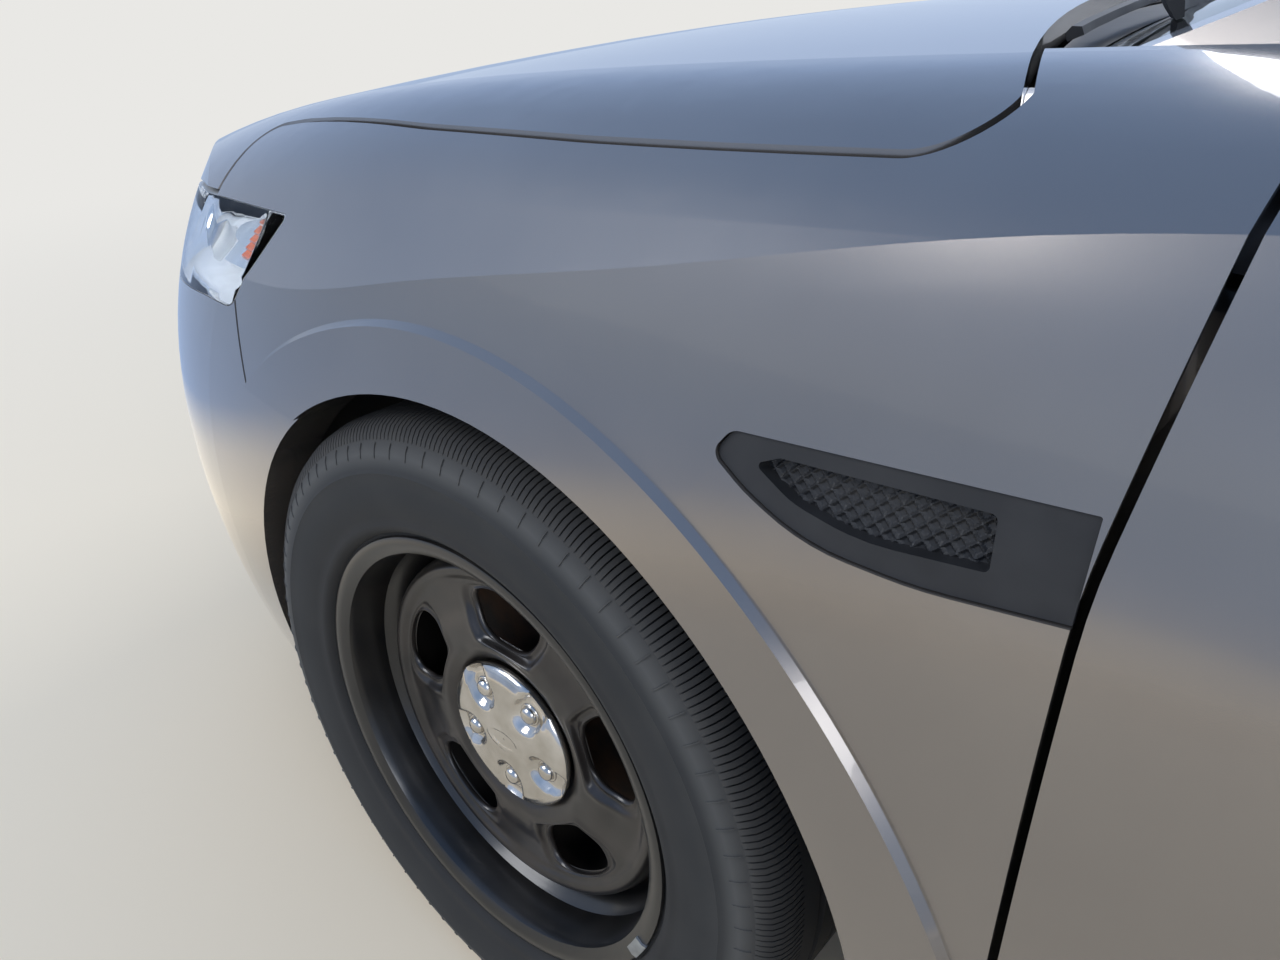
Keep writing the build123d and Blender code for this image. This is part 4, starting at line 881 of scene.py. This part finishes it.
# The lamp wraps the corner, so its two level directions lie at 45 degrees to the car.
DIAGONAL = Vector((0.7071, 0.7071, 0))
OUTWARD = Vector((0.7071, -0.7071, 0))
FACES_FRONT = 0.30
LENS_THICKNESS = 0.003
LENS_RADIUS, LENS_DEEP = 0.030, 0.040
for part, keep_front, finish_name in (
    ("lamp_cover", True, "clear_polycarbonate_lens"), ("lamp_bowl", False, "pale_lamp_housing"),
):
    shell = copied("headlamps")
    gone = []
    for f in shell.faces:
        centre = f.calc_center_median()
        way = Vector((OUTWARD.x if centre.x > 0 else -OUTWARD.x, OUTWARD.y, 0.0))
        front = f.normal.dot(way) > FACES_FRONT
        if front != keep_front:
            gone.append(f)
    bmesh.ops.delete(shell, geom=gone, context="FACES")
    made = settle(shell, part, finish_name, "car_body", 40)
    if keep_front:
        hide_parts("headlamps")
        skin = made.modifiers.new("thickness", "SOLIDIFY")
        skin.thickness = LENS_THICKNESS
        skin.offset = -1


def lamp_point(s, height, deep):
    """Point inside the left lamp, from its place on the 45 degree view and its depth."""
    base = DIAGONAL * s + OUTWARD * 2.4 + Vector((0, 0, height))
    point, _ = landed(lamp_skin, base, -OUTWARD)
    return point - OUTWARD * deep


def lamp_sheet(line, depths, rows):
    """Stepped reflector inside the lamp, over a line of (along, low, high)."""
    steps = [(j / rows, depths[j % len(depths)]) for j in range(rows + 1)]
    made = [[lamp_point(s, low + (high - low) * t, deep) for t, deep in steps] for s, low, high in line]
    return sheet_of(made, closed_ring=False)


span = [(-0.73 - 0.020 * k, 0.772 - 0.0030 * k, 0.836 - 0.0028 * k) for k in range(8)]
pair(lamp_sheet(span, (0.055, 0.045), 8), "lamp_reflector", "silvered_reflector", BODY, "lamp_lens", 20)
span = [(-0.692 - 0.006 * k, 0.800, 0.842) for k in range(6)]
pair(
    lamp_sheet(span, (0.022, 0.019), 12), "amber_reflector", "amber_acrylic_reflector", BODY,
    "lamp_lens", 20
)


def barrel(centre, radius, profile, steps=40):
    """Turned piece about the lamp's forward line, from (out, share of radius) points."""
    bm = turned([(x, radius * r) for x, r in profile], steps)
    turn_to = OUTWARD.to_track_quat("X", "Z").to_matrix()
    bmesh.ops.rotate(bm, cent=(0, 0, 0), matrix=turn_to, verts=bm.verts)
    bmesh.ops.translate(bm, vec=centre, verts=bm.verts)
    return bm


BEZEL = [(-0.030, 0.80), (-0.002, 0.86), (0.004, 1.00), (0.000, 1.10), (-0.030, 1.14)]
DOME = [(0.010, 0.0), (0.0095, 0.25), (0.007, 0.50), (0.002, 0.72), (-0.006, 0.84)]
for number, (s, height) in enumerate(((-0.985, 0.762), (-1.145, 0.752))):
    centre = lamp_point(s, height, LENS_DEEP)
    bezel, dome = barrel(centre, LENS_RADIUS, BEZEL), barrel(centre, LENS_RADIUS, DOME)
    pair(bezel, f"lamp_bezel_{number}", "silvered_reflector", BODY, "lamp_lens")
    pair(dome, f"lamp_dome_{number}", "lamp_projector_glass", BODY, "lamp_lens")
print("head lamps dressed")

# %% [markdown]
# Small outside parts make the other sides read as a car: pull handles on four doors, black window
# sills and black pillar covers. The handles are body colour and stand about 30 mm proud, with room
# for fingers behind. They ride on their doors, so they swing with them.

# %% Handles, sills and pillar covers
DOOR_BODIES = {
    "front": ("front_door_left", "front_door_right"),
    "rear": ("rear_door_left", "rear_door_right"),
}
HANDLE_LONG, HANDLE_RISE = 0.216, 0.006
HANDLE_LIFT, HANDLE_HALF_HIGH = 0.0285, 0.0135
HANDLE_STEPS, HANDLE_SIDES = 24, 16


def handle(y_middle, z):
    """Pull handle whose ends curve into the door."""
    rings = []
    for k in range(HANDLE_STEPS + 1):
        share = k / HANDLE_STEPS
        y = y_middle - HANDLE_LONG / 2 + HANDLE_LONG * share
        point, normal = landed(flank, (OUTSIDE, y, z + HANDLE_RISE * share), INWARD)
        ends = min(share, 1 - share) / 0.16
        lift = HANDLE_LIFT * (1 - (1 - min(ends, 1)) ** 2.4)
        half_high = HANDLE_HALF_HIGH * (0.72 + 0.28 * min(ends, 1))
        thick = 0.0065 + 0.010 * max(0.0, 1 - ends)
        up_way = Vector((0, 0, 1)) - normal * normal.z
        up_way.normalize()
        ring = []
        for j in range(HANDLE_SIDES):
            turn = 2 * pi * j / HANDLE_SIDES
            c, s = cos(turn), sin(turn)
            rise = half_high * abs(s) ** 0.8 * (1 if s > 0 else -1)
            out = lift - thick / 2 + thick * 0.62 * c + (0.0035 if c > 0 else 0) * (1 - s * s)
            ring.append(point + up_way * rise + normal * out)
        rings.append(ring)
    return sheet_of(rings)


SILL_SECTION = [
    (-0.009, -0.001), (-0.009, 0.002), (-0.006, 0.0042), (0.006, 0.0042), (0.010, 0.002), (0.010, -0.001)
]
COVER_SECTION = [
    (-0.021, -0.0005), (-0.021, 0.0012), (-0.0195, 0.0020), (0.0195, 0.0020), (0.021, 0.0012),
    (0.021, -0.0005)
]
for where, y_handle, z_handle, sill, cover in (
    (
        "front", -0.010, 0.905, ((-0.800, 1.0315), (-0.300, 1.0370), (0.080, 1.0430)),
        ((0.098, 1.0480), (0.098, 1.3950))
    ),
    (
        "rear", 0.960, 0.925, ((0.180, 1.0455), (0.700, 1.0560), (1.070, 1.0660)),
        ((0.162, 1.0500), (0.162, 1.3980))
    ),
):
    pair(
        handle(y_handle, z_handle), f"pull_handle_{where}", PAINT,
        DOOR_BODIES[where], "body_paint", 50
    )
    path = between([(1.0, y, z) for y, z in sill], 16)
    pair(
        moulding(flank, path, SILL_SECTION), f"window_sill_{where}", BLACK,
        DOOR_BODIES[where], "black_plastic"
    )
    path = between([(1.0, y, z) for y, z in cover], 14)
    pair(
        moulding(flank, path, COVER_SECTION), f"pillar_cover_{where}", BLACK,
        DOOR_BODIES[where], "black_plastic"
    )

# %% [markdown]
# Two wipers rest low on the windscreen. Each is an arm and a longer blade, swept along points that
# rays find on the glass, so both follow its curve.

# %% Wipers
screen = caster("windscreens")
ARM = [(-0.006, 0.016), (-0.006, 0.022), (0.0, 0.025), (0.006, 0.022), (0.006, 0.016)]
BLADE = [
    (-0.0025, 0.001), (-0.005, 0.010), (-0.006, 0.017), (0.006, 0.017), (0.005, 0.010), (0.0025, 0.001)
]
# Distances above the screen's lower edge, and how much the far end lies higher
ARM_ABOVE, ARM_RISE, ARM_STEPS = 0.050, 0.045, 12
BLADE_ABOVE, BLADE_RISE, BLADE_STEPS = 0.085, 0.012, 10


def on_screen(x, above):
    """Start of a ray that lands on the windscreen, a distance up from its lower edge."""
    y = -1.34
    while screen.ray_cast(Vector((x, y, 1.7)), Vector(DOWNWARD))[0] is None:
        y += 0.004
    return (x, y + above, 1.1)


def wiper(pivot_x, middle_x, reach):
    """Arm and blade lying low on the windscreen."""
    arm, blade = [], []
    for k in range(ARM_STEPS + 1):
        x = pivot_x + (middle_x - pivot_x) * k / ARM_STEPS
        arm.append(on_screen(x, ARM_ABOVE + ARM_RISE * k / ARM_STEPS))
    for k in range(2 * BLADE_STEPS + 1):
        x = middle_x + reach * (k / BLADE_STEPS - 1)
        blade.append(on_screen(x, BLADE_ABOVE + BLADE_RISE * k / BLADE_STEPS))
    bm = moulding(screen, arm, ARM, DOWNWARD)
    absorb(bm, moulding(screen, blade, BLADE, DOWNWARD))
    return bm


for number, (pivot_x, middle_x, reach) in enumerate(((0.610, 0.300, 0.290), (0.040, -0.270, 0.270))):
    settle(
        wiper(pivot_x, middle_x, reach), f"wiper_{number}", BLACK, "car_body",
        40
    )

# %% [markdown]
# Seats only show through the glass, but they still read as seats: a cushion crowned in the middle,
# raised bolsters with a sewn seam beside each, and a rounded head rest. Each pad is a row of equal
# outlines from one side to the other, pulled in at the ends and pressed down along the seams.

# %% Seats
PAD_STEPS = 40
SEAM_DEPTH = 0.0065
BENCH_HALF = 0.536
HEAD_REST_HALF = 0.118


def pad(outline, left_x, right_x, seams, crown, bolster):
    """Upholstered block: an outline of (y, z) carried across from one x to the other."""
    count = 56
    corners = [(0.0, y, z) for y, z in outline] + [(0.0, *outline[0])]
    loop = [(p.y, p.z) for p in between(corners, count)][:-1]
    for _ in range(3):
        after = loop[1:] + loop[:1]
        before = loop[-1:] + loop[:-1]
        loop = [
            ((b[0] + 2 * p[0] + a[0]) / 4, (b[1] + 2 * p[1] + a[1]) / 4)
            for b, p, a in zip(before, loop, after)
        ]
    cy, cz = sum(p[0] for p in loop) / count, sum(p[1] for p in loop) / count
    rings = []
    for k in range(PAD_STEPS + 1):
        u = 2 * k / PAD_STEPS - 1
        x = (left_x + right_x) / 2 + u * (right_x - left_x) / 2
        inward = 0.030 * max(0.0, (abs(u) - 0.80) / 0.20) ** 2.2
        groove = sum(SEAM_DEPTH * bump(abs(u), s, 0.022) for s in seams)
        swell = crown * (1 - u * u) * 0.4 + bolster * bump(abs(u), 0.84, 0.13)
        ring = []
        for y, z in loop:
            far = hypot(y - cy, z - cz)
            move = swell - inward - groove - 0.012
            ring.append(Vector((x, cy + (y - cy) * (1 + move / far), cz + (z - cz) * (1 + move / far))))
        rings.append(ring)
    return sheet_of(rings)


SEAT_BASE = (
    (-0.430, 0.236), (-0.480, 0.430), (-0.440, 0.497), (-0.060, 0.450), (-0.010, 0.440), (0.025, 0.236)
)
SEAT_BACK = (
    (-0.030, 0.450), (0.110, 0.955), (0.190, 0.985), (0.228, 0.955), (0.122, 0.430), (0.020, 0.405)
)
HEAD_PAD = ((0.148, 0.985), (0.160, 1.160), (0.248, 1.160), (0.228, 0.985))
REAR_BASE = ((0.503, 0.396), (0.495, 0.555), (0.845, 0.528), (0.960, 0.520), (0.990, 0.396))
REAR_BACK = ((0.850, 0.540), (0.955, 1.005), (1.072, 1.005), (1.072, 0.545), (1.000, 0.500))


def cushion(name, *shape):
    """Settle one pad in woven cloth."""
    return settle(pad(*shape), name, CLOTH, "car_body", 60)


for side, x0, x1 in (("left", 0.194, 0.686), ("right", -0.686, -0.194)):
    middle = (x0 + x1) / 2
    parts = [
        cushion(f"seat_cushion_{side}", SEAT_BASE, x0, x1, (0.66,), 0.010, 0.010),
        cushion(f"seat_back_{side}", SEAT_BACK, x0 + 0.010, x1 - 0.010, (0.62,), 0.008, 0.012),
        cushion(
            f"head_rest_{side}", HEAD_PAD, middle - HEAD_REST_HALF, middle + HEAD_REST_HALF, (0.80,), 0.006, 0.0
        ),
    ]
    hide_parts(f"front_seat_{side}")
bench = cushion("bench_cushion", REAR_BASE, -BENCH_HALF, BENCH_HALF, (0.42,), 0.006, 0.004)
bench_back = cushion("bench_back", REAR_BACK, -BENCH_HALF, BENCH_HALF, (0.42,), 0.004, 0.004)
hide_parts("rear_seat")
print("seats padded")

# %% [markdown]
# The roof bar has a black base and coloured domes: blue and red outside, clear in the middle. Its
# copy is cut where the colours meet, and each face takes the finish of its place. Each door mirror
# is a copy of its CAD node too, with the glass set into the back of the shell.

# %% Roof bar and mirrors
def cut_at(bm, places):
    """Cut a piece by planes given as (point, normal)."""
    for point, normal in places:
        geom = bm.verts[:] + bm.edges[:] + bm.faces[:]
        bmesh.ops.bisect_plane(bm, geom=geom, plane_co=point, plane_no=normal, dist=1e-6)


bar = copied("light_bar")
BASE_TOP = 1.588
CLEAR_HALF = 0.19
across_bar = [((x, 0, 0), (1, 0, 0)) for x in (-CLEAR_HALF, CLEAR_HALF)]
cut_at(bar, [((0, 0, BASE_TOP), (0, 0, 1))] + across_bar)
for f in bar.faces:
    centre = f.calc_center_median()
    dome = 1 if centre.x > CLEAR_HALF else 2 if centre.x < -CLEAR_HALF else 3
    f.material_index = 0 if centre.z < BASE_TOP else dome
bar_piece = settle(bar, "roof_bar", BLACK, "car_body", 30)
for name in ("blue_acrylic_dome", "red_acrylic_lens", "frosted_acrylic_dome"):
    bar_piece.data.materials.append(finishes[name])
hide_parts("light_bar")

for side in ("left", "right"):
    mirror = copied(f"mirror_{side}")
    _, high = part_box(f"mirror_{side}")
    faces = [f for f in mirror.faces if f.normal.y > 0.9 and f.calc_center_median().y > high.y - 0.004]
    bmesh.ops.inset_region(mirror, faces=faces, thickness=0.009, depth=0.0)
    bmesh.ops.inset_region(mirror, faces=faces, thickness=0.001, depth=-0.004)
    for f in faces:
        f.material_index = 1
    made = settle(
        mirror, f"door_mirror_{side}", BLACK, f"front_door_{side}",
        35
    )
    made.data.materials.append(finishes["mirror_glass"])
    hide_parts(f"mirror_{side}")

# %% [markdown]
# The back carries a blank plate in a shallow black frame and two low reflectors. A raised black
# hairline is painted shade for the gap round the fuel flap, a rounded square in the left rear
# quarter, and another is painted shade for the gap where each front fender meets the bumper.

# %% Plate, reflectors, and painted shade lines at the fuel flap and seams
rear = caster("trunk_lid", "rear_bumper")


def rounded(width, height, radius, per_corner=6):
    """Points of a rounded rectangle about the origin."""
    made = []
    for number, (sx, sy) in enumerate(((1, 1), (-1, 1), (-1, -1), (1, -1))):
        for k in range(per_corner + 1):
            turn = pi / 2 * (number + k / per_corner)
            x = sx * (width / 2 - radius) + radius * cos(turn)
            made.append((x, sy * (height / 2 - radius) + radius * sin(turn)))
    return made


def plate_on(tree, centre, way, width, height, thick, radius):
    """Plate with a raised rim, laid on a panel."""
    point, normal = landed(tree, centre, way)
    across = Vector((0, 0, 1)).cross(normal).normalized()
    upward = normal.cross(across).normalized()
    rim = thick + 0.0008
    rings = []
    for grow, out in ((0.0, 0.001), (0.0, thick), (-0.003, rim), (-0.008, rim), (-0.010, thick - 0.0002)):
        wide, tall = 1 + 2 * grow / width, 1 + 2 * grow / height
        outline = [(x * wide, z * tall) for x, z in rounded(width, height, radius)]
        rings.append([point + across * x + upward * z + normal * out for x, z in outline])
    return sheet_of(rings)


BEHIND = 3.2
PLATE_AT = (0, BEHIND, 0.900)
settle(
    plate_on(rear, PLATE_AT, FORWARD, 0.330, 0.176, 0.008, 0.014), "plate_frame",
    BLACK, "trunk_lid"
)
settle(
    plate_on(rear, PLATE_AT, FORWARD, 0.304, 0.152, 0.0115, 0.012), "rear_plate",
    "blank_white_plate", "trunk_lid"
)

for side, x in (("left", 0.66), ("right", -0.66)):
    strip = plate_on(rear, (x, BEHIND, 0.430), FORWARD, 0.150, 0.036, 0.004, 0.012)
    settle(strip, f"rear_reflector_{side}", "red_acrylic_lens", "car_body")

# Section of a raised black strip that is painted shade, standing for the dark gap round a panel.
SHADE_LINE = [(-0.0013, -0.0005), (-0.0010, 0.0004), (0.0010, 0.0004), (0.0013, -0.0005)]
quarter = caster("body_side_left")
ring = [(1.0, 1.810 + y, 0.855 + z) for y, z in rounded(0.176, 0.150, 0.040)]
flap = moulding(quarter, ring + ring[:1], SHADE_LINE)
settle(flap, "fuel_flap_shade_line", BLACK, "car_body")
# The same painted shade line stands for the gap where each front fender meets the bumper.
nose = caster("fender_left", "front_bumper")
drop = between([(1.0, -1.8908, 0.768), (1.0, -1.8772, 0.6805)], 24)
pair(moulding(nose, drop, SHADE_LINE), "bumper_gap_shade_line", BLACK, BODY, "black_plastic")
